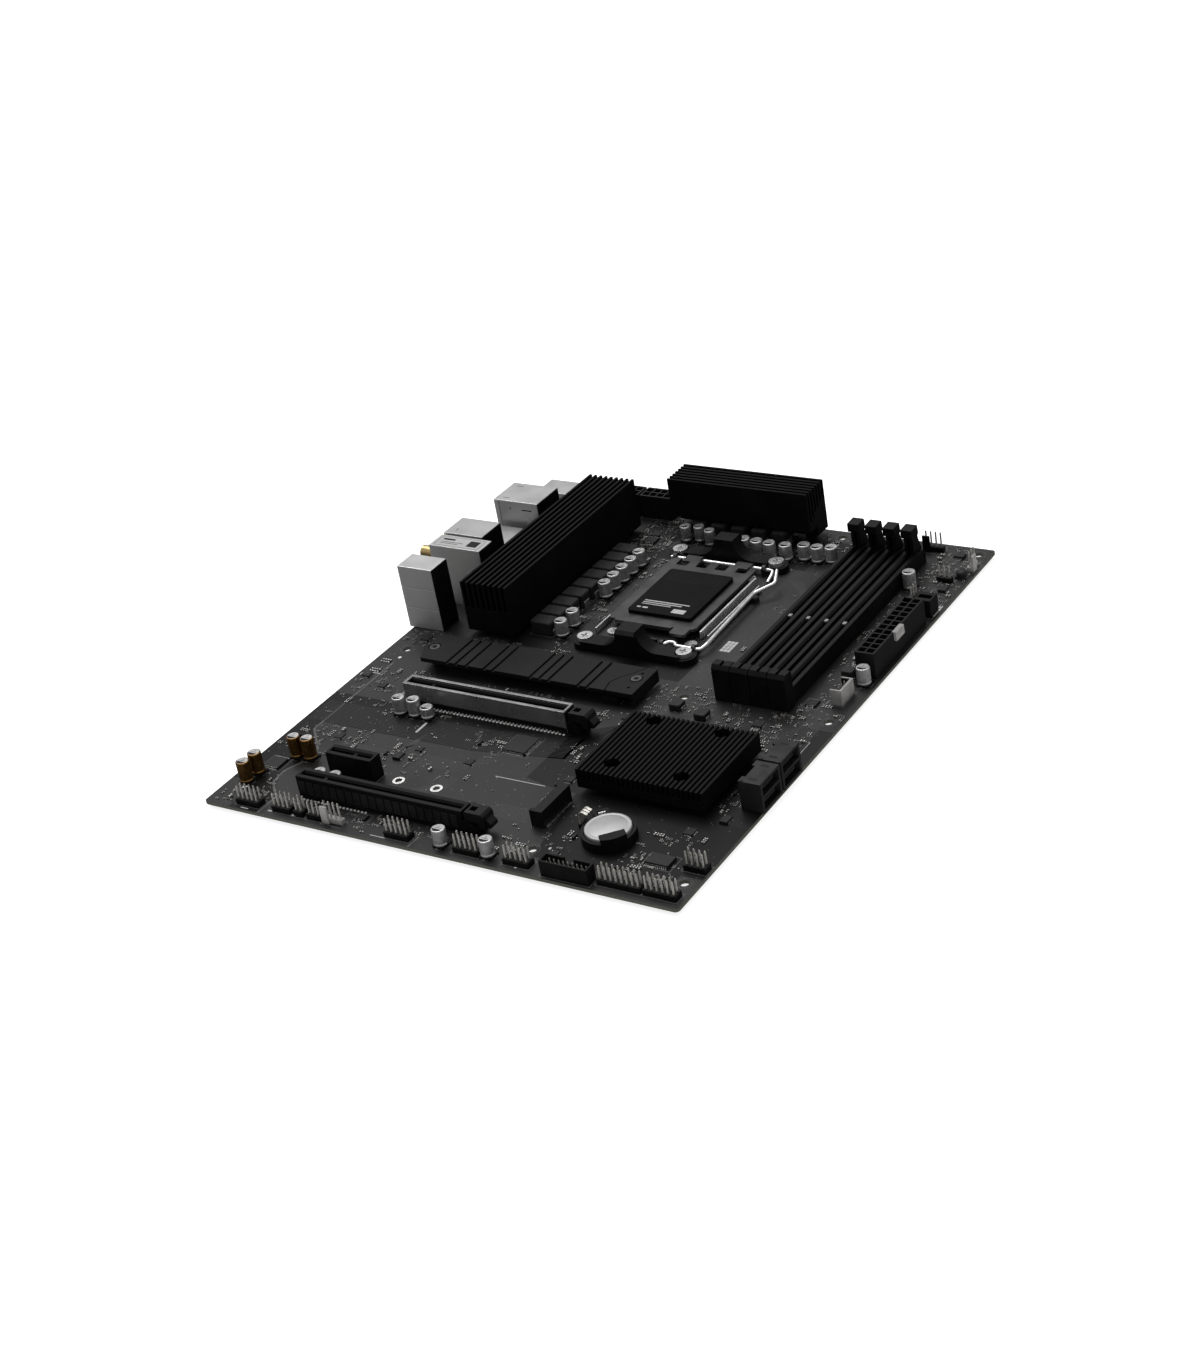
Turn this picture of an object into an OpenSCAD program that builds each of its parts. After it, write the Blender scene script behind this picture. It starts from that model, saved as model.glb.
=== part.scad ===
// Full-size desktop computer mainboard with its sockets, slots, coolers and rear connectors.
// Millimetres. Inside on_board(), x runs from the rear edge to the front edge, y from the lower
// edge to the edge with the processor power connectors, and z = 0 is the board's upper face.

/* [Board] */
// Size of the board from its rear edge to its front edge
board_w = 243.84; // [243:0.01:245]
// Size of the board from its lower edge to its upper edge
board_l = 304.8; // [304:0.01:306]
// Thickness of the board
board_t = 1.6; // [1.2:0.1:2]
// Radius of the board's corners
board_corner = 2; // [0.5:0.5:3]
// Diameter of the case mounting holes
case_hole_d = 3.96; // [3.5:0.01:4.2]
// Height of the solder joints and the backplate under the board
underside_h = 2; // [1.6:0.1:2.4]

/* [Processor socket] */
// Place of the socket's centre across the board
socket_x = 122.3; // [121:0.1:124]
// Place of the socket's centre along the board
socket_y = 214.5; // [213:0.1:216]
// Distance between cooler screws across the board
cooler_dx = 54; // [54:0.1:54.5]
// Distance between cooler screws along the board
cooler_dy = 90; // [90:0.1:90.5]
// Side of the processor package that the socket takes
package_w = 40; // [38:0.1:40.4]
// Height of the hinge wire's centre line
hinge_z = 4; // [3.8:0.1:4.2]
// Radius of the hinge wire and of the lever wire
wire_r = 1; // [0.9:0.05:1.1]
// Gap between a wire and the knuckle or ear around it
wire_gap = 0.06; // [0.02:0.01:0.1]
// Thickness of the load plate
plate_t = 1.5; // [1.2:0.1:1.8]

/* [Voltage regulator] */
// Height of both finned heatsinks' tops
vrm_top_z = 29; // [26:0.5:32]
// Height of the left heatsink's underside
vrm_base_z = 3; // [3:0.1:3.5]
// Number of fins on the left heatsink
left_fins = 9; // [7:1:11]
// Number of fins on the top heatsink
top_fins = 7; // [6:1:8]
// Thickness of a fin at its tip
fin_t = 1.3; // [1:0.1:1.6]
// Number of chokes beside the left heatsink
choke_count = 9; // [6:1:9]
// Distance from one choke to the next
choke_pitch = 9.4; // [8.6:0.1:9.6]

/* [Memory slots] */
// Number of memory slots
memory_slots = 4; // [4:1:4]
// Distance from one memory slot to the next
memory_pitch = 9.3; // [9.2:0.1:9.6]
// Width of one slot body
memory_w = 7.2; // [6.8:0.1:7.4]
// Height of the slot body
memory_h = 8.6; // [8:0.1:9]
// Width of the groove for the module's edge
memory_groove = 1.4; // [1.3:0.05:1.6]

/* [Expansion slots] */
// Length of a long expansion slot
long_slot = 89; // [88:0.5:89]
// Length of the short expansion slot
short_slot = 25; // [24:0.5:26]
// Height of the slot bodies
slot_h = 11; // [10.5:0.1:11.2]
// Width of the slot bodies
slot_w = 7.2; // [7:0.1:7.4]
// Width of the groove for a card's edge
card_groove = 1.8; // [1.65:0.05:2]
// Thickness of the steel sleeve on the upper long slot
armour_t = 0.35; // [0.3:0.05:0.4]

/* [Coolers] */
// Height of the storage drive heatsink's top
drive_sink_z = 7.6; // [7:0.1:8]
// Height of the chipset heatsink's top
chipset_sink_z = 12; // [11:0.1:13]
// Number of fins on the chipset heatsink
chipset_fins = 26; // [22:1:28]

/* [Battery] */
// Diameter of the coin cell
coin_d = 20; // [19.8:0.05:20]
// Thickness of the coin cell
coin_t = 3.2; // [3:0.1:3.2]

/* [Hidden] */
$fn = 48;
tiny = 0.01;
rear_reach = 11;         // how far the antenna connectors stand out behind the board
front_reach = 0.7;       // how far the drive ports stand out past the front edge
board_top = board_t + underside_h;
mid_x = (board_w + front_reach - rear_reach) / 2;
mid_y = board_l / 2;
black = [0.05, 0.05, 0.055];
charcoal = [0.10, 0.10, 0.11];
steel = [0.72, 0.73, 0.75];
gold = [0.80, 0.62, 0.25];
pale = [0.72, 0.70, 0.66];
case_holes = [
    [10.16, 16.51], [165.10, 16.51], [237.49, 16.51],
    [10.16, 140.97], [165.10, 140.97], [237.49, 140.97],
    [10.16, 275.59], [165.10, 298.45], [237.49, 298.45]];
cooler_screws_at = [for (sx = [-1, 1], sy = [-1, 1])
    [socket_x + sx * cooler_dx / 2, socket_y + sy * cooler_dy / 2]];
frame_screws_at = [
    [socket_x - 19.3, socket_y - 32.5], [socket_x + 23.7, socket_y - 33.5],
    [socket_x - 19.3, socket_y + 31], [socket_x + 19.3, socket_y + 31]];
left_sink_screws_at = [[46.2, 170], [46.2, 272]];
top_sink_screws_at = [[84, 298.5], [148, 298.5]];
chipset_screws_at = [[174, 68], [208, 68], [174, 103], [208, 103]];
drive_screws_at = [[31.7, 136.3], [143.2, 138]];
drive_posts_at = [[77.5, 42], [98, 42]];
small_screw_r = 1.25;
small_hole_r = 1.5;
post_r = 2.9;
cooler_screw_r = 1.65;

// ---------- shared shapes ----------

// Moves from the board's own corner to the part's origin under the middle of the part.
module on_board() translate([-mid_x, -mid_y, board_top]) children();

// A box from its lowest corner to its highest corner.
module block(lo, hi) translate(lo) cube(hi - lo);

// A box with rounded upright edges.
module round_block(lo, hi, r) {
    difference() {
        block(lo, hi);
        for (sx = [0, 1], sy = [0, 1]) {
            corner = [sx ? hi[0] : lo[0], sy ? hi[1] : lo[1]];
            centre = [corner[0] + (sx ? -r : r), corner[1] + (sy ? -r : r)];
            difference() {
                block([min(corner[0], centre[0]) - tiny, min(corner[1], centre[1]) - tiny, lo[2] - tiny],
                    [max(corner[0], centre[0]) + tiny, max(corner[1], centre[1]) + tiny, hi[2] + tiny]);
                translate([centre[0], centre[1], lo[2] - 2 * tiny])
                    cylinder(r = r, h = hi[2] - lo[2] + 4 * tiny);
                block([centre[0] - (sx ? r : 0), centre[1] - (sy ? r : 0), lo[2] - 2 * tiny],
                    [centre[0] + (sx ? 0 : r), centre[1] + (sy ? 0 : r), lo[2] - tiny]);
            }
        }
    }
}

// An upright rod or hole.
module post(at, z0, z1, r) translate([at[0], at[1], z0]) cylinder(r = r, h = z1 - z0);

// A rod along X.
module rod_x(x0, x1, y, z, r) translate([x0, y, z]) rotate([0, 90, 0]) cylinder(r = r, h = x1 - x0);

// A rod along Y.
module rod_y(x, y0, y1, z, r) translate([x, y0, z]) rotate([-90, 0, 0]) cylinder(r = r, h = y1 - y0);

// An outline in the Y-Z plane pushed along X.
module slab_x(x0, x1, outline) translate([x0, 0, 0]) rotate([90, 0, 90])
    linear_extrude(x1 - x0) polygon(outline);

// An outline in the X-Z plane pushed along Y.
module slab_y(y0, y1, outline) translate([0, y1, 0]) rotate([90, 0, 0])
    linear_extrude(y1 - y0) polygon(outline);

// A bent wire: straight rods between points, with a ball at each inner bend.
module wire(points, r) {
    for (i = [0 : len(points) - 2]) {
        step = points[i + 1] - points[i];
        translate(points[i])
            rotate([0, acos(step[2] / norm(step)), atan2(step[1], step[0])])
                cylinder(r = r, h = norm(step));
    }
    for (i = [1 : len(points) - 2]) translate(points[i]) sphere(r = r * 1.25);
}

// ---------- board and socket ----------

module pcb() color(black) on_board() difference() {
    round_block([0, 0, -board_t], [board_w, board_l, 0], board_corner);
    for (p = case_holes) post(p, -board_t - 1, 1, case_hole_d / 2);
    for (p = cooler_screws_at) post(p, -board_t - 1, 1, post_r + 0.1);
    for (p = frame_screws_at) post(p, -board_t - 1, 1, 1.7);
    for (p = concat(left_sink_screws_at, top_sink_screws_at, chipset_screws_at))
        post(p, -board_t - 1, 1, small_hole_r);
    for (p = drive_posts_at) post(p, -board_t - 1, 1, 1.6);
}

plate_margin = 8;

module backplate() color(charcoal) on_board() {
    lo = [socket_x - cooler_dx / 2 - plate_margin, socket_y - cooler_dy / 2 - plate_margin];
    hi = [socket_x + cooler_dx / 2 + plate_margin, socket_y + cooler_dy / 2 + plate_margin];
    window = 14;
    difference() {
        union() {
            round_block([lo[0], lo[1], -board_top], [hi[0], hi[1], -board_t], 4);
            for (p = cooler_screws_at) post(p, -board_t - tiny, 0, post_r);
        }
        for (p = cooler_screws_at) post(p, -board_top - 1, 1, cooler_screw_r + 0.1);
        for (p = frame_screws_at) post(p, -board_top - 1, 1, 1.55);
        round_block([socket_x - window, socket_y - window, -board_top - 1],
            [socket_x + window, socket_y + window, 1], 3);
    }
}

housing_w = 46;
housing_l = 48;
housing_h = 3.6;

module socket_housing() color(charcoal) on_board() difference() {
    round_block([socket_x - housing_w / 2, socket_y - housing_l / 2, 0],
        [socket_x + housing_w / 2, socket_y + housing_l / 2, housing_h], 1);
    block([socket_x - package_w / 2 - 0.15, socket_y - package_w / 2 - 0.15, 1.2],
        [socket_x + package_w / 2 + 0.15, socket_y + package_w / 2 + 0.15, housing_h + 1]);
    for (sy = [-1, 1]) translate([socket_x - 8, socket_y + sy * package_w / 2 - 2, 1.2])
        cube([16, 4, housing_h]);
}

module socket_contacts() color(gold) on_board() difference() {
    block([socket_x - 18.5, socket_y - 19, 1.2], [socket_x + 18.5, socket_y + 19, 1.6]);
    block([socket_x - 6, socket_y - 5, 1], [socket_x + 6, socket_y + 5, 2]);
}

frame_lo = [socket_x - 27.3, socket_y - 40];
frame_hi = [socket_x + 29.8, socket_y + 41];
frame_t = 1.2;
hinge_y = socket_y + 37.5;
lever_y = socket_y - 38.5;
lever_z = 2.9;
lever_x = socket_x + 31.6;
rail_z = 5.2;

module hinge_ear(x0) difference() {
    union() {
        block([x0, hinge_y - 2.4, frame_t - tiny], [x0 + 1.6, hinge_y + 2.4, hinge_z]);
        rod_x(x0, x0 + 1.6, hinge_y, hinge_z, 2.4);
    }
    rod_x(x0 - 1, x0 + 3, hinge_y, hinge_z, wire_r + 0.02);
}

module lever_ear(x0) difference() {
    union() {
        block([x0, lever_y - 2.1, frame_t - tiny], [x0 + 1.6, lever_y + 2.1, lever_z]);
        rod_x(x0, x0 + 1.6, lever_y, lever_z, 2.1);
    }
    rod_x(x0 - 1, x0 + 3, lever_y, lever_z, wire_r + wire_gap);
}

module socket_frame() color(charcoal) on_board() {
    difference() {
        union() {
            round_block([frame_lo[0], frame_lo[1], 0], [frame_hi[0], frame_hi[1], frame_t], 2.5);
            block([frame_lo[0], socket_y - 36, 0], [frame_lo[0] + 1, socket_y - 22, 4.2]);
            block([frame_hi[0] - 4.9, socket_y - 27, 0], [frame_hi[0] - 3.7, socket_y + 27, rail_z]);
            block([frame_hi[0] - 1, socket_y - 27, 0], [frame_hi[0], socket_y + 23, 3.6]);
            block([socket_x - 15, frame_lo[1] + 2, 0], [socket_x + 8, frame_lo[1] + 3, 4.4]);
        }
        block([socket_x - housing_w / 2 - 0.3, socket_y - housing_l / 2 - 0.3, -1],
            [socket_x + housing_w / 2 + 0.3, socket_y + housing_l / 2 + 0.3, frame_t + 1]);
        for (p = frame_screws_at) post(p, -1, frame_t + 1, 1.7);
        for (p = cooler_screws_at) post(p, -1, frame_t + 1, 6.4);
    }
    for (x0 = [socket_x - 26, socket_x + 23.8]) hinge_ear(x0);
    for (x0 = [socket_x + 10.5, socket_x + 27.6]) lever_ear(x0);
    // Catch that holds the closed lever.
    slab_y(socket_y + 12, socket_y + 15.5, [
        [frame_hi[0] - tiny, 0], [lever_x + 1.5, 0], [lever_x + 1.5, 2.2],
        [lever_x - 0.9, 3], [frame_hi[0] - tiny, 3]]);
}

module screw(at, seat_z, tip_z, head_r, head_h, shank_r) {
    difference() {
        post(at, seat_z, seat_z + head_h, head_r);
        for (a = [0, 90]) translate([at[0], at[1], seat_z + head_h]) rotate([0, 0, a])
            cube([head_r * 1.1, head_r * 0.28, head_h * 0.9], center = true);
    }
    post(at, tip_z, seat_z + tiny, shank_r);
}

bracket_ear_z = 3.2;

module socket_screws() color(steel) on_board() {
    for (p = cooler_screws_at) screw(p, bracket_ear_z, -board_t - 1.2, 3.7, 2.2, cooler_screw_r);
    for (p = frame_screws_at) screw(p, frame_t, -board_t - 1.2, 3, 1, 1.45);
}

module hinge_wire() color(steel) on_board()
    rod_x(socket_x - 27.8, socket_x + 27.2, hinge_y, hinge_z, wire_r);

plate_z = hinge_z + 0.7;
plate_top = plate_z + plate_t;

module load_plate() color(charcoal) on_board() {
    difference() {
        union() {
            round_block([socket_x - 24.6, socket_y - 28, plate_z],
                [socket_x + 23, socket_y + 34, plate_top], 3);
            // Tongue towards the lever.
            round_block([socket_x + 12.2, socket_y - 33.6, plate_z],
                [socket_x + 20.6, socket_y - 24, plate_top], 1.2);
            // Rolled lip along the near edge.
            block([socket_x - 20, socket_y - 29.2, plate_z - 0.5],
                [socket_x + 11, socket_y - 27.5, plate_top]);
        }
        // Window over the processor.
        round_block([socket_x - 17, socket_y - 21.5, plate_z - 1],
            [socket_x + 17.6, socket_y + 19.5, plate_top + 1], 2);
        // Openings between the three arms at the hinge.
        for (x0 = [-19.5, -8.5, 2.2, 13.5])
            round_block([socket_x + x0, socket_y + 27.5, plate_z - 1],
                [socket_x + x0 + 6, socket_y + 35, plate_top + 1], 1.2);
        rod_x(socket_x - 30, socket_x + 30, hinge_y, hinge_z, 2.6);
    }
    for (x0 = [-18.2, 9.7]) difference() {
        union() {
            rod_x(socket_x + x0, socket_x + x0 + 8.5, hinge_y, hinge_z, 2.2);
            block([socket_x + x0, socket_y + 32, plate_z],
                [socket_x + x0 + 8.5, hinge_y, plate_top]);
        }
        rod_x(socket_x - 30, socket_x + 30, hinge_y, hinge_z, wire_r + wire_gap);
    }
}

module load_lever() color(steel) on_board() wire([
    [socket_x + 10, lever_y, lever_z],
    [socket_x + 12.7, lever_y, lever_z],
    [socket_x + 13.6, lever_y + 2, lever_z + 0.3],
    [socket_x + 17.4, lever_y + 2, lever_z + 0.3],
    [socket_x + 18.3, lever_y, lever_z],
    [lever_x, lever_y, lever_z],
    [lever_x + 1.4, lever_y + 3.5, lever_z + 0.9],
    [lever_x + 0.2, socket_y + 13.5, 4.8],
    [lever_x + 6.6, socket_y + 23, 6],
    [lever_x + 3.4, socket_y + 31.5, 8.2]], wire_r);

cap_top = plate_top + 2;

module socket_cap() color(black) on_board() difference() {
    union() {
        round_block([socket_x - 17.2, socket_y - 22, plate_top + 0.05],
            [socket_x + 17.8, socket_y + 20, cap_top], 1.5);
        round_block([socket_x - 16.6, socket_y - 21.1, plate_z - 0.6],
            [socket_x + 17.2, socket_y + 19.1, plate_top + 0.1], 1.5);
    }
    round_block([socket_x - 15.4, socket_y - 19.9, plate_z - 2],
        [socket_x + 16, socket_y + 17.9, plate_top + 0.9], 1);
}

bracket_h = 14.5;
tab_half = 5.2;
arm_swoop = bracket_h - 4.6;

// One plastic bracket, drawn for the near side about the socket's centre.
module cooler_bracket() difference() {
    union() {
        difference() {
            block([-cooler_dx / 2, -cooler_dy / 2 - 5.2, 0.4],
                [cooler_dx / 2, -cooler_dy / 2 + 2.8, bracket_h]);
            for (s = [-1, 1]) translate([s * (tab_half + arm_swoop), 0, 4.6 + arm_swoop])
                rotate([90, 0, 0]) {
                    cylinder(r = arm_swoop, h = cooler_dy);
                    translate([s < 0 ? -cooler_dx : 0, -arm_swoop, 0])
                        cube([cooler_dx, 2 * arm_swoop + 1, cooler_dy]);
                    translate([-arm_swoop, 0, 0]) cube([2 * arm_swoop, arm_swoop + 1, cooler_dy]);
                }
        }
        // Hook that a clip-on cooler catches under.
        slab_x(-tab_half, tab_half, [
            [-cooler_dy / 2 - 5.2 + tiny, bracket_h], [-cooler_dy / 2 - 7, bracket_h - 1.4],
            [-cooler_dy / 2 - 7, bracket_h - 3.2], [-cooler_dy / 2 - 5.2 + tiny, bracket_h - 3.2]]);
        for (s = [-1, 1]) translate([s * cooler_dx / 2, -cooler_dy / 2, 0])
            cylinder(r = 5.8, h = bracket_ear_z);
    }
    for (s = [-1, 1]) translate([s * cooler_dx / 2, -cooler_dy / 2, -1])
        cylinder(r = 1.85, h = 30);
    for (s = [-1, 1]) translate([s * cooler_dx / 2, -cooler_dy / 2, bracket_ear_z])
        cylinder(r = 4.4, h = 30);
    // Flat on each ear beside the socket's own ears.
    block([-cooler_dx, -cooler_dy / 2 + 4.1, -1], [cooler_dx, -cooler_dy / 2 + 7, bracket_ear_z + 1]);
}

module cooler_bracket_near() color(charcoal) on_board()
    translate([socket_x, socket_y, 0]) cooler_bracket();

module cooler_bracket_far() color(charcoal) on_board()
    translate([socket_x, socket_y, 0]) mirror([0, 1, 0]) cooler_bracket();

// ---------- voltage regulator ----------

left_sink_lo = [33, 162, vrm_base_z];
left_sink_hi = [59.5, 280.5, vrm_top_z];
left_slot_z = vrm_top_z - 14;

module vrm_heatsink_left() color(black) on_board() difference() {
    union() {
        block(left_sink_lo, left_sink_hi);
        for (p = left_sink_screws_at) post(p, 0, vrm_base_z + tiny, 3);
    }
    pitch = (left_sink_hi[0] - left_sink_lo[0] - fin_t) / (left_fins - 1);
    for (i = [0 : left_fins - 2])
        block([left_sink_lo[0] + fin_t + i * pitch, left_sink_lo[1] - 1, left_slot_z],
            [left_sink_lo[0] + (i + 1) * pitch, left_sink_hi[1] + 1, vrm_top_z + 1]);
    for (p = left_sink_screws_at) post(p, -1, 6, small_screw_r + 0.05);
}

top_sink_lo = [76.5, 284.5, 8.2];
top_sink_hi = [155.5, 302.5, vrm_top_z];
top_leg_y = 292;

module vrm_heatsink_top() color(black) on_board() difference() {
    union() {
        block(top_sink_lo, top_sink_hi);
        block([top_sink_lo[0], top_leg_y, vrm_base_z], [top_sink_hi[0], top_sink_hi[1], 9]);
        for (p = top_sink_screws_at) post(p, 0, vrm_base_z + tiny, 3);
    }
    pitch = (top_sink_hi[1] - top_sink_lo[1] - fin_t) / (top_fins - 1);
    for (i = [0 : top_fins - 2])
        block([top_sink_lo[0] - 1, top_sink_lo[1] + fin_t + i * pitch, 13 + i * 1.6],
            [top_sink_hi[0] + 1, top_sink_lo[1] + (i + 1) * pitch, vrm_top_z + 1]);
    for (p = top_sink_screws_at) post(p, -1, 6, small_screw_r + 0.05);
}

stage_h = 1;

module power_stages() color(charcoal) on_board() {
    for (i = [0 : choke_count - 1])
        block([47, 178 + i * choke_pitch, 0], [53, 183 + i * choke_pitch, stage_h]);
    for (i = [0 : 5])
        block([91 + i * 9, 293.2, 0], [96 + i * 9, 297.2, stage_h]);
}

module thermal_pads() color([0.55, 0.58, 0.62]) on_board() {
    block([44, 176, stage_h], [56, 267, vrm_base_z]);
    block([89, 292.6, stage_h], [143, 297.6, vrm_base_z]);
    block([36, 129, drive_pad_z], [130.8, 144, drive_base_z]);
    block([185, 76, chipset_h], [199, 90, chipset_base_z]);
}

module choke(lo, size) {
    difference() {
        block(lo, lo + size);
        // Chamfered upper edges show the moulded core.
        for (s = [0, 1]) translate([lo[0] + s * size[0], lo[1] + size[1] / 2, size[2]])
            rotate([0, 45, 0]) cube([0.9, size[1] + 1, 0.9], center = true);
    }
}

module chokes() color(charcoal) on_board() {
    for (i = [0 : choke_count - 1]) choke([62.6, 171 + i * choke_pitch, 0], [12.2, 8.2, 7]);
    for (i = [0 : 4]) choke([88 + i * 11.5, 282, 0], [8.2, 9.4, 7]);
    choke([163.8, 128.9, 0], [6.4, 6.4, 3.2]);
    choke([178.8, 124.9, 0], [6.4, 6.4, 3.2]);
    choke([227.2, 173, 0], [6.2, 6, 5.6]);
}

// A can capacitor: square foot, rolled neck and flat top.
module can(at, d, h) {
    round_block([at[0] - d * 0.52, at[1] - d * 0.52, 0], [at[0] + d * 0.52, at[1] + d * 0.52, 1], 0.8);
    translate([at[0], at[1], 0]) rotate_extrude() polygon([
        [0, 0.9], [d / 2, 0.9], [d / 2, 1.7], [d * 0.45, 2.1], [d / 2, 2.5],
        [d / 2, h - 0.5], [d * 0.46, h], [0, h]]);
}

cans_at = [
    [79.2, 174, 6.4, 8.6], [79.4, 184, 6.4, 8.6], [79.4, 213.4, 6.4, 8.6],
    [79.4, 221.6, 6.4, 8.6], [79.4, 229.8, 6.4, 8.6], [79.4, 238, 6.4, 8.6],
    [79.4, 246.2, 6.4, 8.6],
    [125, 271.6, 6.3, 8.6], [132.4, 271, 6.3, 8.6], [139.8, 270.5, 6.3, 8.6],
    [148.6, 270.6, 6.3, 8.6], [157.6, 273, 6.3, 8.6], [165, 272.5, 6.3, 8.6],
    [172, 274, 6.3, 8.6], [89, 276, 5.6, 8.6], [96, 277.5, 5.6, 8.6], [103.5, 275, 5.6, 8.6],
    [44, 90, 6.3, 9], [52, 90.5, 6.3, 9], [59, 90.5, 6.3, 6],
    [126, 6.5, 6.3, 8.6], [149.9, 6.5, 6.3, 8.6],
    [238.4, 174.2, 6.3, 9], [219.9, 260, 6.3, 9], [43.5, 30.5, 6, 5.8], [52, 30.5, 6, 5.8]];

module can_capacitors() color(steel) on_board() for (c = cans_at) can([c[0], c[1]], c[2], c[3]);

audio_cans_at = [[19, 44], [26.4, 44.5], [10, 27], [9.5, 19.4]];

module audio_capacitors() color(gold) on_board() for (p = audio_cans_at) can(p, 6.3, 11);

module chips() color(charcoal) on_board() {
    block([109.5, 76.5, 0], [121.5, 89.5, 1.4]);
    block([215.5, 22.5, 0], [226.5, 29.5, 1.5]);
    block([9, 32, 0], [17, 40, 1]);
    block([78.4, 10, 0], [82.6, 13.6, 1]);
    block([68, 268, 0], [74, 274, 1]);
    block([218.5, 243, 0], [224.5, 249, 1]);
    block([221.5, 150, 0], [226.5, 155, 1]);
}

// ---------- memory ----------

memory_x0 = 184.7;
memory_near_y = 143;
memory_body_y = 149.5;
memory_end_y = 279.6;
cheek_end_y = 286;
memory_key_y = 208;
tower_h = 18;
tower_w = memory_pitch - 0.4;
latch_pivot = [283.6, 4];
latch_pin_r = 1;

function memory_x(i) = memory_x0 + i * memory_pitch;

module memory_slot(i) translate([memory_x(i), 0, 0]) difference() {
    union() {
        block([-memory_w / 2, memory_near_y, 0], [memory_w / 2, memory_end_y, memory_h]);
        slab_x(-tower_w / 2, tower_w / 2, [
            [memory_near_y, 0], [memory_body_y, 0], [memory_body_y, tower_h - 1.5],
            [memory_body_y - 1, tower_h], [memory_near_y + 1.5, tower_h], [memory_near_y, tower_h - 2]]);
        block([-memory_w / 2, memory_end_y - tiny, 0], [memory_w / 2, cheek_end_y, 0.7]);
        for (s = [-1, 1]) translate([s * (memory_w / 2 - 0.6) - 0.6, 0, 0]) slab_x(0, 1.2, [
            [memory_end_y - tiny, 0], [cheek_end_y, 0], [cheek_end_y, 5.6],
            [cheek_end_y - 2, 7.6], [memory_end_y - tiny, 7.6]]);
    }
    // Groove for the module, broken by its key.
    difference() {
        block([-memory_groove / 2, memory_body_y - 5.2, memory_h - 6.5],
            [memory_groove / 2, memory_end_y - 1.5, tower_h + 1]);
        block([-2, memory_key_y - 1, 0], [2, memory_key_y + 1, memory_h]);
    }
    // Slope beside the groove's mouth.
    slab_y(memory_body_y + 2, memory_end_y - 3, [
        [-memory_groove / 2 - 0.9, memory_h + tiny], [memory_groove / 2 + 0.9, memory_h + tiny],
        [memory_groove / 2, memory_h - 1], [-memory_groove / 2, memory_h - 1]]);
    rod_x(-5, 5, latch_pivot[0], latch_pivot[1], latch_pin_r + wire_gap);
}

module memory_latch(i) translate([memory_x(i), 0, 0]) {
    difference() {
        union() {
            slab_x(-2, 2, [
                [281.6, 1.2], [281.1, 8.8], [280, 11], [283, 11], [285.6, 8.8], [285.6, 3], [284.2, 1.2]]);
            slab_x(-2.4, 2.4, [
                [276.6, 9], [276.4, 17.2], [281.5, 17.4], [282.4, 14], [284.4, 9.6], [283.6, 9]]);
            slab_x(-2.9, 2.9, [
                [276.8, 16.6], [274.8, 17.4], [274.8, 21.7], [281.4, 21.9], [282, 17.6], [281, 16.6]]);
        }
        // Slot that clears the module's edge.
        block([-memory_groove / 2, 270, 8.4], [memory_groove / 2, 280, 18]);
    }
    rod_x(-memory_w / 2 + 0.3, memory_w / 2 - 0.3, latch_pivot[0], latch_pivot[1], latch_pin_r);
}

module memory_slot_1() color(black) on_board() memory_slot(0);
module memory_slot_2() color(black) on_board() memory_slot(1);
module memory_slot_3() color(black) on_board() memory_slot(2);
module memory_slot_4() color(black) on_board() memory_slot(3);
module memory_latch_1() color(charcoal) on_board() memory_latch(0);
module memory_latch_2() color(charcoal) on_board() memory_latch(1);
module memory_latch_3() color(charcoal) on_board() memory_latch(2);
module memory_latch_4() color(charcoal) on_board() memory_latch(3);

// ---------- expansion slots ----------

slot_x0 = 42;
graphics_y = 101.7;
lower_y = 20.5;
short_y = 40.7;
key_x = 13.2;
slot_end = 7;
card_pivot = [3.6, 3.2];

// Slot body with its groove; x runs from the rear end, y is centred.
module card_slot(length, latch) difference() {
    union() {
        block([0, -slot_w / 2, 0], [length, slot_w / 2, slot_h]);
        if (latch) for (s = [-1, 1]) translate([length, s * (slot_w / 2 - 0.65), 0])
            slab_y(-0.65, 0.65, [
                [-tiny, 0], [slot_end, 0], [slot_end, 4], [card_pivot[0], 6], [-tiny, 6.2]]);
        if (latch) block([length - tiny, -slot_w / 2, 0], [length + slot_end, slot_w / 2, 0.6]);
    }
    difference() {
        block([1.2, -card_groove / 2, slot_h - 8], [length - 1.2, card_groove / 2, slot_h + 1]);
        block([key_x, -2, 0], [key_x + 1.7, 2, slot_h + 2]);
    }
    slab_x(1.2, length - 1.2, [
        [-card_groove / 2 - 0.8, slot_h + tiny], [card_groove / 2 + 0.8, slot_h + tiny],
        [card_groove / 2, slot_h - 1], [-card_groove / 2, slot_h - 1]]);
    if (latch) rod_y(length + card_pivot[0], -6, 6, card_pivot[1], latch_pin_r + wire_gap);
}

module card_latch(length) translate([length, 0, 0]) {
    slab_y(-2, 2, [[1.1, 1.2], [1.1, 7], [10.6, 7], [10.6, 3.8], [7.4, 3.6], [5.8, 1.2]]);
    difference() {
        slab_y(-slot_w / 2, slot_w / 2, [
            [1.1, 6.8], [1.1, 10.8], [1.6, slot_h + 0.2], [9.8, slot_h + 0.2], [11, 10.2],
            [11.6, 8.4], [13.6, 6.6], [13.8, 5.2], [13.2, 4.4], [7.8, 4], [7.8, 6.8]]);
        // Square well in the top.
        block([2.6, -1.5, slot_h - 3], [5.8, 1.5, slot_h + 1]);
        // Steps beside the thumb tab.
        for (s = [-1, 1]) translate([11.2, s * slot_w / 2 - 1.2, 0]) cube([3, 2.4, 20]);
    }
    rod_y(card_pivot[0], -slot_w / 2 + 0.3, slot_w / 2 - 0.3, card_pivot[1], latch_pin_r);
}

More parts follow.
